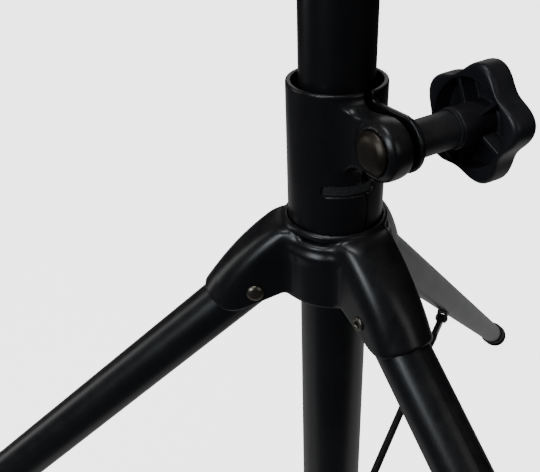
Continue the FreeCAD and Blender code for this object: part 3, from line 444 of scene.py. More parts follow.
GROUPS: dict[Effect, bpy.types.NodeTree] = {Effect.COAT: coat_group(), Effect.DUST: dust_group(),
                                            Effect.EDGE: edge_group(), Effect.SCUFF: scuff_group()}


# ---------------------------------------------------------------- finishes
@dataclass(frozen=True)
class Finish:
    """One finish: its colours, gloss and how strongly each shared effect shows."""

    name: str
    base: Colour
    rough: float
    rough_swing: float = 0.04
    metal: float = 0.0
    coat: float = 0.0
    coat_rough: float = 0.2
    specular: float = 0.5
    grain: float = 3200.0
    waves: float = 420.0
    bump: float = 0.06
    bump_depth: float = 0.00006
    dust: float = 0.12
    dust_colour: Colour = (0.32, 0.30, 0.28)
    edge_reach: float = 0.0004
    wear: float = 0.25
    wear_colour: Colour = (0.11, 0.11, 0.115)
    scuffs: float = 0.12

    def group(self, w: Wiring, effect: Effect, values: dict[str, float]) -> bpy.types.Node:
        """Places a shared group in this finish's material with its own values."""
        made = w.tree.nodes.new("ShaderNodeGroup")
        made.node_tree = GROUPS[effect]
        for key, value in values.items():
            made.inputs[key].default_value = value
        return made

    def colour(self, w: Wiring, gloss: bpy.types.NodeSocket) -> bpy.types.NodeSocket:
        """The clean surface's colour: the base, a little lighter where the gloss noise is high."""
        light = tuple(min(1.0, c * 1.35 + 0.002) for c in self.base)
        return w.mix(gloss, (*self.base, 1.0), (*light, 1.0))

    def extra_height(self, w: Wiring) -> bpy.types.NodeSocket | None:
        """A further height pattern of this finish, if it has one."""
        return None

    def build(self) -> bpy.types.Material:
        """Makes the material.

        Returns:
            A node material whose colour, roughness and normal vary over the surface, and whose metal is one
            value.
        """
        material = bpy.data.materials.new(self.name)
        material.use_nodes = True
        w = Wiring(material.node_tree)
        shader = material.node_tree.nodes["Principled BSDF"]
        coat = self.group(w, Effect.COAT, {"Grain": self.grain, "Waves": self.waves})
        dust = self.group(w, Effect.DUST, {"Amount": self.dust})
        edge = self.group(w, Effect.EDGE, {"Reach": self.edge_reach, "Amount": self.wear})
        scuff = self.group(w, Effect.SCUFF, {"Amount": self.scuffs})
        colour = self.colour(w, coat.outputs["Gloss"])
        colour = w.mix(scuff.outputs["Mask"], colour, (*self.wear_colour, 1.0))
        colour = w.mix(edge.outputs["Mask"], colour, (*self.wear_colour, 1.0))
        colour = w.mix(dust.outputs["Mask"], colour, (*self.dust_colour, 1.0))
        rough = w.math("MULTIPLY_ADD", coat.outputs["Gloss"], self.rough_swing)
        rough.node.inputs[2].default_value = self.rough - self.rough_swing / 2
        rough = w.math("ADD", rough, w.math("MULTIPLY", dust.outputs["Mask"], 0.5), clamp=True)
        height = coat.outputs["Height"]
        extra = self.extra_height(w)
        if extra is not None:
            height = w.math("ADD", height, extra)
        bump = w.node("Bump", {"Strength": self.bump, "Distance": self.bump_depth, "Height": height,
                               "Normal": edge.outputs["Normal"]})
        for name, source in {"Base Color": colour, "Roughness": rough,
                             "Normal": bump.outputs["Normal"]}.items():
            w.tree.links.new(source, shader.inputs[name])
        for name, value in {"Metallic": self.metal, "Coat Weight": self.coat,
                            "Coat Roughness": self.coat_rough, "Specular IOR Level": self.specular}.items():
            shader.inputs[name].default_value = value
        return material


@dataclass(frozen=True)
class KnurledFinish(Finish):
    """A moulded finish with raised pips: a cell pattern's distance, high at each cell's middle."""

    pips: float = 900.0
    pip_height: float = 6.0

    def extra_height(self, w: Wiring) -> bpy.types.NodeSocket | None:
        """Height of the pips."""
        where = w.node("TexCoord").outputs["Object"]
        cells = w.node("TexVoronoi", {"Vector": where, "Scale": self.pips}).outputs["Distance"]
        return w.math("MULTIPLY", w.span(cells, 0.6, 0.1), self.pip_height)


HUB_COAT = Finish("hub_coat", (0.0056, 0.0055, 0.0070), 0.31, coat=0.12, bump=0.30, wear=0.10, waves=260.0)
SLEEVE_COAT = Finish("sleeve_coat", (0.0050, 0.0049, 0.0063), 0.31, coat=0.12, bump=0.22, wear=0.16)
TUBE_COAT = Finish("tube_coat", (0.0054, 0.0054, 0.0068), 0.33, coat=0.10, bump=0.16, wear=0.10)
# The braces are the same black coat as the tubes. This base is about three times lighter so the thin braces
# read mid-grey: a painted highlight.
BRACE_COAT = Finish("brace_coat_painted_highlight", (0.0150, 0.0150, 0.0170), 0.34, bump=0.20)
DESK_COAT = Finish("desk_coat", (0.0130, 0.0130, 0.0145), 0.46, bump=0.5, grain=2100.0, wear=0.15)
KNOB_MOULD = Finish("knob_moulding", (0.0150, 0.0145, 0.0185), 0.36, bump=0.18, grain=2600.0,
                    edge_reach=0.0003, wear=0.05, wear_colour=(0.05, 0.05, 0.055))
SPACER_MOULD = Finish("spacer_moulding", (0.020, 0.020, 0.022), 0.42, bump=0.25, wear=0.12)
BUSH_MOULD = KnurledFinish("bush_moulding", (0.030, 0.030, 0.032), 0.52, bump=0.5, wear=0.0)
PLUG_MOULD = Finish("plug_moulding", (0.016, 0.016, 0.017), 0.50, bump=0.3)
NYLON = Finish("nylon", (0.62, 0.61, 0.57), 0.45, bump=0.15, wear=0.0, scuffs=0.0)
FOOT_RUBBER = Finish("foot_rubber", (0.0095, 0.0095, 0.0100), 0.62, bump=0.6, grain=1600.0, dust=0.35,
                     wear=0.0, scuffs=0.25)
BRONZED = Finish("bronzed_steel", (0.066, 0.056, 0.047), 0.44, rough_swing=0.2, metal=1.0, bump=0.4,
                 waves=900.0, wear=0.6, wear_colour=(0.45, 0.40, 0.34), scuffs=0.6, dust=0.05)
PLATED = Finish("plated_steel", (0.17, 0.152, 0.128), 0.38, rough_swing=0.16, metal=1.0, bump=0.3,
                waves=900.0, wear=0.5, wear_colour=(0.62, 0.58, 0.52), scuffs=0.5, dust=0.05)
BRASS = Finish("machined_brass", (0.52, 0.36, 0.15), 0.33, metal=1.0, wear=0.3, wear_colour=(0.8, 0.62, 0.32))


@dataclass
class FinishShelf:
    """Makes each finish's material once."""

    made: dict[str, bpy.types.Material] = field(default_factory=dict)

    def take(self, finish: Finish) -> bpy.types.Material:
        """The finish's material."""
        if finish.name not in self.made:
            self.made[finish.name] = finish.build()
        return self.made[finish.name]


SHELF = FinishShelf()


def dress_node(node: str, finish: Finish) -> None:
    """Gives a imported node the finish, in every one of its material slots."""
    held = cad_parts[node]
    if not held.material_slots:
        held.data.materials.append(None)
    for slot in held.material_slots:
        slot.material = SHELF.take(finish)


def join_to(piece: bpy.types.Object, body: str, slot: str, *nodes: str) -> bpy.types.Object:
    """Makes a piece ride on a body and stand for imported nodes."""
    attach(piece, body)
    if nodes:
        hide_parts(*nodes)
    LOG.info("%s rides on %s: %d faces", piece.name, body, len(piece.data.polygons))
    return piece


# ---------------------------------------------------------------- the stand
@dataclass
class Crown:
    """The cast hub: a skirted ring that grows into three hollow arms. Millimetres from the crown."""

    headings: tuple[float, ...] = (90.0, -30.0, -150.0)
    slope: float = 48.7
    step: float = 0.62
    bore: float = 13.3
    seat: float = 16.9
    seat_depth: float = 6.0
    skirt: float = 20.6
    skirt_drop: float = 28.4
    wall: float = 3.0
    half: float = 11.3
    ridge: tuple[tuple[float, float], ...] = ((18.7, 1.8), (34.8, -10.9), (49.7, -29.0))
    end_low: tuple[float, float] = (39.4, -36.3)
    root_low: tuple[float, float] = (18.4, -26.7)
    leg_room: float = 9.9
    leg_start: float = 35.1
    pivot: float = 40.0
    swing: float = 10.95
    shoulder_blend: float = 2.7
    lip: tuple[float, float, float] = (17.6, -0.5, 1.3)
    collar: tuple[float, float, float] = (19.6, -10.0, -3.4)
    skirt_top: float = -7.4
    web_drop: float = 13.0
    web_slope: float = 0.8
    crest_top: float = -0.7

    def ridge_circle(self) -> tuple[float, float, float]:
        """Centre and radius of the circle through the three ridge points."""
        (ax, az), (bx, bz), (cx, cz) = self.ridge
        d = 2 * (ax * (bz - cz) + bx * (cz - az) + cx * (az - bz))
        a2, b2, c2 = ax * ax + az * az, bx * bx + bz * bz, cx * cx + cz * cz
        x = (a2 * (bz - cz) + b2 * (cz - az) + c2 * (az - bz)) / d
        z = (a2 * (cx - bx) + b2 * (ax - cx) + c2 * (bx - ax)) / d
        return x, z, math.hypot(ax - x, az - z)

    def arm(self, reach: np.ndarray, side: np.ndarray, rise: np.ndarray) -> np.ndarray:
        """Distance to one solid arm.

        Its section across the ridge circle is |side|^p + |rho - core|^p = half^p with flat
        cheeks below, and p falls from a squarish 3.3 at the hub to a round 2 at the arm's end.

        Args:
            reach: level distance from the mast's axis along the arm.
            side: distance to its left.
            rise: height above the crown.

        Returns:
            The distance, negative inside.
        """
        cx, cz, radius = self.ridge_circle()
        rho = np.hypot(reach - cx, rise - cz)
        along = np.clip((reach - 20.0) / 24.0, 0.0, 1.0)
        power = 3.3 - 1.3 * along
        above = np.maximum(rho - (radius - self.half), 0.0)
        section = (np.abs(side) ** power + above ** power) ** (1 / power) - self.half
        (ex, ez), (rx, rz) = self.end_low, self.root_low
        bx, bz = self.ridge[2]
        length = math.hypot(bx - ex, bz - ez)
        end = ((reach - ex) * (bz - ez) - (rise - ez) * (bx - ex)) / length
        under_length = math.hypot(ex - rx, ez - rz)
        under = ((reach - rx) * (ez - rz) - (rise - rz) * (ex - rx)) / under_length
        limits = smooth_meet(end, under, 5.0)
        crest = smooth_meet(np.maximum(section, -reach), rise - self.crest_top, 2.4)
        return smooth_meet(crest, limits, 1.4)

    def room(self, reach: np.ndarray, side: np.ndarray, rise: np.ndarray) -> np.ndarray:
        """Distance to the space that the leg fills and turns in."""
        s, c = math.sin(math.radians(self.slope)), math.cos(math.radians(self.slope))
        t, q = reach * s - rise * c, reach * c + rise * s
        tube = np.maximum(np.hypot(side, q) - self.leg_room, self.leg_start - t)
        below = np.maximum(np.maximum(np.abs(side) - self.leg_room, q), self.pivot - t)
        ball = np.sqrt((t - self.pivot) ** 2 + side ** 2 + q ** 2) - self.swing
        turning = np.maximum(ball, np.abs(side) - self.leg_room)
        return np.minimum(np.minimum(tube, below), turning)

    def value(self, x: np.ndarray, y: np.ndarray, z: np.ndarray) -> np.ndarray:
        """Distance to the finished casting."""
        radius = np.hypot(x, y)
        body = bar(x, y, z, self.skirt, -self.skirt_drop, self.skirt_top, 0.9)
        body = smooth_join(body, bar(x, y, z, *self.collar, 1.6), 3.0)
        for heading in self.headings:
            c, s = math.cos(math.radians(heading)), math.sin(math.radians(heading))
            body = smooth_join(body, self.arm(x * c + y * s, y * c - x * s, z), self.shoulder_blend)
        lip_r, lip_z, lip_round = self.lip
        lip = np.hypot(radius - lip_r, z - lip_z) - lip_round
        body = smooth_join(body, lip, 0.9)
        inner = self.skirt - self.wall
        cavity = np.maximum(radius - inner, z + self.web_drop + (inner - radius) * self.web_slope)
        body = smooth_cut(body, cavity, 0.8)
        body = np.maximum(body, -(radius - self.bore))
        body = smooth_cut(body, np.maximum(radius - self.seat, -z - self.seat_depth), 0.5)
        for heading in self.headings:
            c, s = math.cos(math.radians(heading)), math.sin(math.radians(heading))
            body = smooth_cut(body, self.room(x * c + y * s, y * c - x * s, z), 0.7)
        return body

    def build(self, crown_z: float) -> None:
        """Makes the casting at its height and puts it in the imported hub's place."""
        points, faces = surface_net(self.value, (-53.0, -36.0, -42.0), (53.0, 59.0, 5.0), self.step)
        place = Matrix.Translation((0.0, 0.0, crown_z))
        piece = blended_piece("hub_shell", points, faces, place, SHELF.take(HUB_COAT))
        join_to(piece, "base", "hub_black", "hub_casting")


@dataclass
class Sleeve:
    """The split clamp sleeve with its two formed lugs. Millimetres from the crown."""

    heading: float = -150.0
    step: float = 0.42
    outer: float = 16.9
    wall: float = 1.8
    low: float = -6.0
    high: float = 50.2
    screw_reach: float = 31.0
    screw_rise: float = 37.7
    slit: float = 1.45
    near_boss: float = 10.15
    near_web: float = 8.2
    far: float = 3.65
    ear: float = 9.2
    boss: float = 8.9
    slot: tuple[float, float] = (15.0, 19.0)
    slot_arc: tuple[float, float] = (-52.0, 13.0)
    seam: float = 3.0
    seam_half: float = 0.22
    seam_floor: float = 15.9
    root_reach: float = 11.8
    near_root: tuple[float, float] = (-11.5, 7.2)
    far_root: tuple[float, float] = (-12.0, 9.2)
    sink: float = 7.3
    sink_depth: float = 1.0
    bolt_hole: float = 3.05

    def web(self, x: np.ndarray, rise: np.ndarray, root: tuple[float, float]) -> np.ndarray:
        """Distance, in the lug's plane, to the strip that narrows from its root to the round lug.

        It is the hull of two circles: one of half the root's height on the sleeve and one of the
        lug's radius on the screw.

        Args:
            x: reach from the mast's axis towards the screw.
            rise: height above the screw.
            root: lowest and highest point of the root.

        Returns:
            The distance, negative inside.
        """
        r0, r1 = (root[1] - root[0]) / 2, self.ear
        x0, y0 = self.root_reach, (root[0] + root[1]) / 2
        dx, dy = self.screw_reach - x0, -y0
        length = math.hypot(dx, dy)
        ux, uy = dx / length, dy / length
        px, py = x - x0, rise - y0
        along, across = px * ux + py * uy, np.abs(py * ux - px * uy)
        lean = (r0 - r1) / length
        shift = across * lean / math.sqrt(1 - lean * lean)
        t = np.clip((along - shift) / length, 0.0, 1.0)
        return np.hypot(along - t * length, across) - (r0 + (r1 - r0) * t)

    def value(self, x: np.ndarray, y: np.ndarray, z: np.ndarray) -> np.ndarray:
        """Distance to the sleeve, in the screw's frame: x to the screw, y across the slit."""
        radius = np.hypot(x, y)
        tube = bar(x, y, z, self.outer, self.low, self.high, 0.5)
        rise = z - self.screw_rise
        near = np.maximum(self.web(x, rise, self.near_root), np.abs(y + (self.slit + self.near_web) / 2)
                          - (self.near_web - self.slit) / 2)
        near = smooth_meet(near, -(y + self.near_web), 3.2)
        boss = bar(x - self.screw_reach, rise, y, self.boss, -self.near_boss, -self.slit, 3.0)
        flat = bar(x - self.screw_reach, rise, y, self.boss, -self.slit - 3.4, -self.slit, 0.4)
        near = smooth_join(smooth_join(near, boss, 3.0), flat, 0.5)
        strap = np.maximum(self.web(x, rise, self.far_root), np.abs(y - (self.slit + self.far) / 2)
                           - (self.far - self.slit) / 2)
        strap = smooth_meet(strap, y - self.far, 0.8)
        body = smooth_join(smooth_join(tube, near, 4.5), strap, 1.3)
        body = smooth_cut(body, radius - (self.outer - self.wall), 0.35)
        bottom = -self.near_boss + self.sink_depth
        sink = bar(x - self.screw_reach, rise, y, self.sink, -self.near_boss - 3, bottom)
        body = smooth_cut(body, sink, 0.5)
        body = np.maximum(body, -bar(x - self.screw_reach, rise, y, self.bolt_hole, -20.0, 20.0))
        gap = np.maximum(np.maximum(np.abs(y) - self.slit, -x), self.slot[0] - z)
        body = smooth_cut(body, gap, 0.35)
        angle = np.degrees(np.arctan2(y, x))
        middle, half = sum(self.slot_arc) / 2, (self.slot_arc[1] - self.slot_arc[0]) / 2
        run = math.radians(1) * self.outer
        height = (self.slot[1] - self.slot[0]) / 2
        past = np.maximum(np.abs(angle - middle) - half, -height / run) * run + height
        slot = np.hypot(np.maximum(past, 0.0), z - sum(self.slot) / 2) - height
        body = smooth_cut(body, np.maximum(slot, -x), 0.45)
        line = np.maximum(np.abs((angle - self.seam) * run) - self.seam_half, z - self.slot[0])
        line = np.maximum(line, self.seam_floor - radius)
        return smooth_cut(body, np.maximum(line, -x), 0.2)

    def build(self, crown_z: float) -> None:
        """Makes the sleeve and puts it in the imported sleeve's place."""
        points, faces = surface_net(self.value, (-18.0, -18.0, self.low - 1.5),
                                    (41.5, 18.0, self.high + 1.5), self.step)
        place = Matrix.Translation((0.0, 0.0, crown_z)) @ Matrix.Rotation(math.radians(self.heading), 4, "Z")
        piece = blended_piece("clamp_shell", points, faces, place, SHELF.take(SLEEVE_COAT))
        join_to(piece, "base", "hub_black", "clamp_sleeve")


@dataclass
class Bolt:
    """A mushroom-headed bolt in its screw's frame, millimetres."""

    head_at: float = -9.15
    head_r: float = 7.0
    head_rise: float = 2.8
    shank_r: float = 3.0
    tip: float = 31.3

    def build(self, name: str, body: str, node: str, place: Matrix) -> None:
        """Makes the bolt as one turned skin: flat-topped dome, thin rim, shank and chamfered tip."""
        top = self.head_at - self.head_rise
        outline = rounded_profile([(0.0, top, 0), (self.head_r * 0.72, top + 0.25, 1.6),
                                   (self.head_r * 0.99, self.head_at - 0.9, 0.5),
                                   (self.head_r, self.head_at, 0.15), (self.shank_r, self.head_at, 0),
                                   (self.shank_r, self.tip, 0.5), (0.0, self.tip, 0)])
        grid = placed(turned_grid(outline, 96) * MM, place)
        join_to(new_piece(name, [(grid, True, False)], SHELF.take(BRONZED)), body, "bolt_steel", node)


@dataclass
class StarKnob:
    """A five-lobed hand knob in its own frame, millimetres: boss foot at zero, recess to the clamp."""

    lobes: int = 5
    outer: float = 20.3
    depth: float = 0.198
    phase: float = -9.7
    rim: float = 6.9
    top: float = 16.8
    floor: float = 14.2
    recess: float = 14.6
    boss: float = 6.9
    bore: float = 3.6
    bore_end: float = 12.0
    insert: float = 4.5
    insert_end: float = 9.0
    rib: float = 1.5
    count: int = 240

    def build(self, name: str, body: str, node: str, place: Matrix) -> None:
        """Makes the moulding and its ribs.

        The rim follows r(u) = R (1 - d (1 - cos n(u - p)) / 2); the recess and the boss are round.

        Args:
            name: the piece's name.
            body: the body that it rides on.
            node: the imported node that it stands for.
            place: the knob's frame in the row frame.
        """
        turn = np.linspace(0, 2 * math.pi, self.count, endpoint=False) - math.radians(self.phase)
        star = self.outer * (1 - self.depth * (1 - np.cos(self.lobes * turn)) / 2)
        outline = rounded_profile([
            (0.0, self.bore_end, 0), (self.bore, self.bore_end, 0), (self.bore, self.insert_end, 0),
            (self.insert, self.insert_end, 0), (self.insert, 0.0, 0), (self.boss, 0.0, 0.6),
            (self.boss, 7.8, 0.2), (self.boss - 0.35, 8.2, 0.2), (self.boss - 0.2, self.floor, 1.0),
            (self.recess, self.floor, 1.2), (self.recess + 0.2, self.rim, 0.9), (star, self.rim, 2.4),
            (star + 0.15, self.top, 2.9), (star * 0.72, self.top + 0.25, 2.0), (0.0, self.top + 0.25, 0)], 6)
        grids = [(placed(turned_grid(outline, self.count) * MM, place), True, False)]
        for lobe in range(self.lobes):
            spin = Matrix.Rotation(math.radians(self.phase + (2 * lobe + 1) * 180 / self.lobes), 4, "Z")
            rib = rib_grid(self.boss - 1.0, self.recess + 1.0, self.rib, self.rim + 1.3, self.floor + 0.6)
            grids.append((placed(rib * MM, place @ spin), False, True))
        join_to(new_piece(name, grids, SHELF.take(KNOB_MOULD)), body, "knob_plastic", node)


@dataclass
class ClampScrew:
    """The bolt and the knob of one clamp, on its screw."""

    reach: float = 31.0
    knob_at: float = 21.3

    def build(self, stem: str, body: str, heading: float, height: float) -> None:
        """Makes both pieces.

        Args:
            stem: the clamp's name, as its nodes start.
            body: the body that the bolt rides on.
            heading: where the lugs point, in degrees.
            height: the screw's height in metres.
        """
        screw = screw_place(heading, height, self.reach)
        Bolt().build(f"{stem}_bolt_turned", body, f"{stem}_bolt", screw)
        knob = screw @ Matrix.Translation((0, 0, self.knob_at * MM))
        StarKnob().build(f"{stem}_star", f"{stem}_knob", f"{stem}_knob", knob)


@dataclass
class LegFittings:
    """The rubber foot, the hinge rivet and the brace's saddle of a leg, in its frame, millimetres."""

    slope: float = 48.7
    crown_z: float = 0.0
    foot_start: float = 560.0
    foot_end: float = 595.0
    foot_r: float = 11.7
    tube_r: float = 9.5
    pivot: float = 40.0
    half: float = 11.3
    brace_at: float = 257.0
    pin_drop: float = 14.0
    gap: float = 1.9
    cheek: float = 3.4

    def foot(self, leg: int, heading: float) -> None:
        """Makes the cap: a turned skin with two grooves and a thick round end, flat on the floor."""
        r, s, e = self.foot_r, self.foot_start, self.foot_end
        bore = self.tube_r + 0.05
        corners = [(0.0, s + 2, 0), (bore, s + 2, 0), (bore, s, 0.2), (r - 0.4, s, 0.7)]
        for groove in (s + 5.0, s + 10.0):
            corners += [(r, groove - 0.8, 0.4), (r - 0.6, groove - 0.2, 0.3), (r - 0.6, groove + 0.6, 0.3),
                        (r, groove + 1.2, 0.4)]
        corners += [(r, e - 6.0, 0.3), (r + 0.25, e - 5.4, 0.3), (r + 0.25, e, 2.8), (r * 0.6, e, 0.5),
                    (r * 0.5, e - 0.5, 0.5), (0.0, e - 0.5, 0)]
        grid = turned_grid(rounded_profile(corners, 4), 96)
        along = np.stack([grid[..., 2], grid[..., 0], grid[..., 1]], axis=-1)
        points = placed(along * MM, leg_place(heading, self.slope, self.crown_z))
        points[..., 2] = np.maximum(points[..., 2], 0.0)
        piece = new_piece(f"foot_rubber_{leg}", [(points, True, False)], SHELF.take(FOOT_RUBBER))
        join_to(piece, f"leg_{leg}", "rubber_black", f"foot_cap_{leg}")

    def rivet_grid(self, heading: float) -> Grid:
        """One semi-tubular rivet: domed head to the left, shank, and a rolled hollow end."""
        h = self.half
        outline = rounded_profile([(0.0, -h + 1.8, 0), (1.15, -h + 1.6, 0.2), (1.25, -h - 0.6, 0.3),
                                   (1.8, -h - 0.9, 0.4), (2.6, -h - 0.5, 0.4), (2.6, -h, 0), (2.0, -h, 0),
                                   (2.0, h, 0), (3.3, h, 0.1), (3.3, h + 0.4, 0.3), (2.2, h + 1.35, 1.0),
                                   (0.0, h + 1.5, 0)])
        grid = turned_grid(outline, 48)
        across = np.stack([grid[..., 1] + self.pivot, grid[..., 2], grid[..., 0]], axis=-1)
        return placed(across * MM, leg_place(heading, self.slope, self.crown_z))

    def saddle_value(self, x: np.ndarray, y: np.ndarray, z: np.ndarray) -> np.ndarray:
        """Distance to the saddle: a cone-shaped lug between its pin and the tube, forked for the brace."""
        drop = np.clip((-z - 8.0) / (self.pin_drop - 8.0), 0.0, 1.0)
        lug = np.hypot(x - self.brace_at, np.minimum(z + self.pin_drop, 0.0)) - (5.0 - 2.0 * drop)
        body = smooth_meet(lug, np.abs(y) - self.cheek, 1.2)
        body = smooth_meet(body, self.tube_r - 0.1 - np.hypot(y, z), 0.2)
        fork = np.maximum(np.abs(y) - self.gap, z + self.pin_drop - 3.3)
        return smooth_cut(body, fork, 0.4)

    def saddle(self, leg: int, heading: float) -> None:
        """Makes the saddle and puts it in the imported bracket's place."""
        low, high = (self.brace_at - 8, -5, -19.5), (self.brace_at + 8, 5, -7.0)
        points, faces = surface_net(self.saddle_value, low, high, 0.35)
        place = leg_place(heading, self.slope, self.crown_z)
        piece = blended_piece(f"brace_saddle_{leg}", points, faces, place, SHELF.take(BRACE_COAT))
        join_to(piece, f"leg_{leg}", "brace_steel", f"brace_bracket_{leg}")

    def build(self, headings: tuple[float, ...]) -> None:
        """Makes the fittings of every leg."""
        for leg, heading in enumerate(headings, start=1):
            self.foot(leg, heading)
            self.saddle(leg, heading)
        grids = [(self.rivet_grid(heading), True, False) for heading in headings]
        join_to(new_piece("hinge_rivets", grids, SHELF.take(PLATED)), "base", "rivet_steel", "leg_rivets")


@dataclass
class Tripod:
    """The hub, its clamp, the three legs and their braces."""

    legs: tuple[int, ...] = (1, 2, 3)
    clamp_heading: float = -150.0
    clamp_rise: float = 37.7

    def dress(self) -> None:
        """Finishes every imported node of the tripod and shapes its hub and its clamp."""
        crown_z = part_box("clamp_sleeve")[0].z + 6 * MM
        hub = Crown()
        hub.build(crown_z)
        Sleeve().build(crown_z)
        LegFittings(crown_z=crown_z).build(hub.headings)
        ClampScrew().build("clamp", "base", self.clamp_heading, crown_z + self.clamp_rise * MM)
        plain = {"hub_casting": HUB_COAT, "clamp_sleeve": SLEEVE_COAT, "guide_bush": BUSH_MOULD,
                 "leg_rivets": PLATED, "clamp_bolt": BRONZED, "clamp_spacer": SPACER_MOULD,
                 "clamp_washer": SPACER_MOULD, "clamp_knob": KNOB_MOULD, "clamp_knob_insert": BRASS}
        for node, finish in plain.items():
            dress_node(node, finish)
        for leg in self.legs:
            for stem, finish in {"leg_tube": TUBE_COAT, "foot_cap": FOOT_RUBBER, "brace_bracket": BRACE_COAT,
                                 "brace_pin": PLATED, "brace_rod": BRACE_COAT, "hook_pin": PLATED}.items():
                dress_node(f"{stem}_{leg}", finish)


@dataclass
class Mast:
    """The two mast tubes, their clamp and the braces' collar."""

    clamp_heading: float = 90.0
    screw_height: float = 0.734

    def dress(self) -> None:
        """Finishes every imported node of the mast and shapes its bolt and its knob."""
        ClampScrew().build("height", "mast", self.clamp_heading, self.screw_height)
        for node, finish in {"main_tube": TUBE_COAT, "tube_end_plug": PLUG_MOULD, "top_bush": PLUG_MOULD,
                             "lower_collar": HUB_COAT, "collar_screw": PLATED, "upper_clamp": HUB_COAT,
                             "height_bolt": BRONZED, "height_spacer": SPACER_MOULD,
                             "height_washer": SPACER_MOULD, "height_knob": KNOB_MOULD,
                             "height_knob_insert": BRASS, "inner_tube": TUBE_COAT, "inner_glide": PLUG_MOULD,
                             "tilt_post": DESK_COAT, "tilt_washers": NYLON}.items():
            dress_node(node, finish)


@dataclass
class Desk:
    """The sheet desk, its ledge and its tilting yoke."""

    tilt_height: float = 1.104
    lean: float = 20.0
    knob_at: float = 8.4

    def dress(self) -> None:
        """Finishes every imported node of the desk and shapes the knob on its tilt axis."""
        lean = Matrix.Rotation(math.radians(-self.lean), 4, "X")
        across = Matrix.Translation((self.knob_at * MM, 0.0, 0.0)) @ Matrix.Rotation(math.radians(90), 4, "Y")
        axis = Matrix.Translation((0.0, 0.0, self.tilt_height)) @ lean @ across
        StarKnob().build("tilt_star", "tilt_knob", "tilt_knob", axis)
        for node, finish in {"desk_yoke": DESK_COAT, "desk_plate": DESK_COAT, "desk_ledge": DESK_COAT,
                             "yoke_rivets": PLATED, "ledge_rivets": PLATED, "tilt_bolt": BRONZED,
                             "tilt_knob_washer": PLATED, "tilt_knob": KNOB_MOULD,
                             "tilt_knob_insert": BRASS}.items():
            dress_node(node, finish)


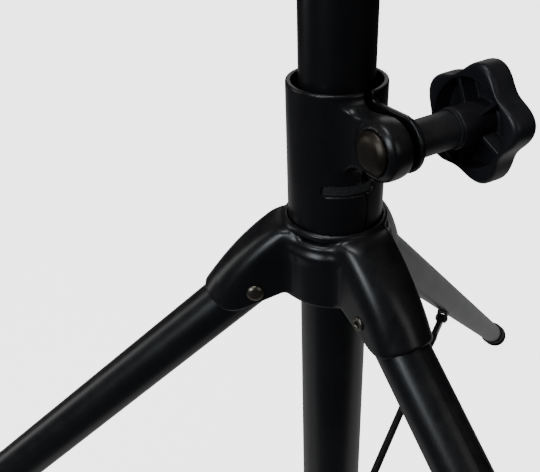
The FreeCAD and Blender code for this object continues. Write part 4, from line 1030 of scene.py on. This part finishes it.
# ---------------------------------------------------------------- studio
@dataclass
class Studio:
    """Floor, soft lights and the camera."""

    eye: Colour = (-0.2218, 0.0244, 0.5285)
    pitch: float = 31.86
    turn: float = 0.171
    roll: float = -2.368
    lens: float = 47.34
    floor_half: float = 40.0
    floor_glow: float = 3.2
    wall_glow: float = 3.6
    wall_light: float = 0.03

    def camera(self) -> None:
        """Sets the camera from its eye point, its pitch below level, its turn and its roll."""
        down, aside, roll = (math.radians(v) for v in (self.pitch, self.turn, self.roll))
        ahead = Vector((math.cos(down) * math.cos(aside), -math.cos(down) * math.sin(aside), -math.sin(down)))
        level = ahead.cross(Vector((0, 0, 1))).normalized()
        above = level.cross(ahead)
        right = level * math.cos(roll) + above * math.sin(roll)
        up = right.cross(ahead)
        data = bpy.data.cameras.new("camera")
        data.lens = self.lens
        data.sensor_width = 36.0
        data.clip_start = 0.01
        seat = bpy.data.objects.new("camera", data)
        seat.matrix_world = Matrix((right, up, -ahead)).transposed().to_4x4()
        seat.matrix_world.translation = Vector(self.eye)
        bpy.context.scene.collection.objects.link(seat)
        bpy.context.scene.camera = seat

    def floor(self) -> None:
        """A plain pale floor under the feet."""
        h = self.floor_half
        mesh = bpy.data.meshes.new("floor")
        mesh.from_pydata([(-h, -h, 0), (h, -h, 0), (h, h, 0), (-h, h, 0)], [], [(0, 1, 2, 3)])
        piece = bpy.data.objects.new("floor", mesh)
        bpy.context.scene.collection.objects.link(piece)
        material = bpy.data.materials.new("floor_paper")
        material.use_nodes = True
        shader = material.node_tree.nodes["Principled BSDF"]
        shader.inputs["Roughness"].default_value = 0.9
        w = Wiring(material.node_tree)
        direct = w.node("LightPath").outputs["Is Camera Ray"]
        seen = w.math("MULTIPLY", direct, self.floor_glow)
        shade = w.mix(direct, (0.10, 0.10, 0.105, 1.0), (0.93, 0.93, 0.93, 1.0))
        w.tree.links.new(shade, shader.inputs["Base Color"])
        shader.inputs["Emission Color"].default_value = (1.0, 1.0, 1.0, 1.0)
        w.tree.links.new(seen, shader.inputs["Emission Strength"])
        mesh.materials.append(material)

    def light(self, name: str, place: Colour, aim: Colour, size: tuple[float, float], power: float,
              colour: Colour = (1.0, 1.0, 1.0)) -> None:
        """Adds one soft rectangular light.

        Args:
            name: its name.
            place: where it stands.
            aim: the point it faces.
            size: its width and height.
            power: its power in watts.
            colour: its colour.
        """
        data = bpy.data.lights.new(name, "AREA")
        data.shape = "RECTANGLE"
        data.size, data.size_y = size
        data.energy = power
        data.color = colour
        lamp = bpy.data.objects.new(name, data)
        lamp.matrix_world = (Vector(aim) - Vector(place)).to_track_quat("-Z", "Y").to_matrix().to_4x4()
        lamp.matrix_world.translation = Vector(place)
        lamp.visible_camera = False
        bpy.context.scene.collection.objects.link(lamp)

    def lights(self) -> None:
        """A pale surround that gives little light, a key on the left, and weaker lights around.

        The bounce lies on the floor beyond the stand, for the far leg and the tubes' edges.
        """
        world = bpy.data.worlds.new("surround")
        world.use_nodes = True
        backdrop = world.node_tree.nodes["Background"]
        backdrop.inputs["Color"].default_value = (1.0, 1.0, 1.0, 1.0)
        w = Wiring(world.node_tree)
        direct = w.node("LightPath").outputs["Is Camera Ray"]
        strength = w.span(direct, 0.0, 1.0, self.wall_light, self.wall_glow)
        w.tree.links.new(strength, backdrop.inputs["Strength"])
        bpy.context.scene.world = world
        aim = (0.0, 0.0, 0.42)
        self.light("key", (-1.04, 1.04, 1.05), aim, (0.5, 0.6), 7.0, (0.88, 0.95, 1.0))
        self.light("top", (-0.3, 0.4, 2.3), aim, (0.9, 0.9), 14.0, (0.94, 0.97, 1.0))
        self.light("fill", (-1.6, -1.5, 1.4), aim, (0.8, 1.2), 3.0)
        self.light("rim", (0.5, 1.8, 0.7), aim, (0.5, 1.2), 3.0)
        self.light("back", (1.9, -0.4, 1.3), aim, (1.4, 1.2), 3.0)
        self.light("bounce", (0.78, 0.0, 0.02), (0.78, 0.0, 1.0), (1.8, 1.1), 1.9)

    def build(self) -> None:
        """Makes all of it."""
        self.camera()
        self.floor()
        self.lights()


def main() -> None:
    """Builds the looks in order."""
    logging.basicConfig(level=logging.INFO, format="%(message)s")
    Studio().build()
    for part in (Tripod(), Mast(), Desk()):
        part.dress()
        LOG.info("%s dressed", type(part).__name__)


if __name__ == "__main__":
    main()
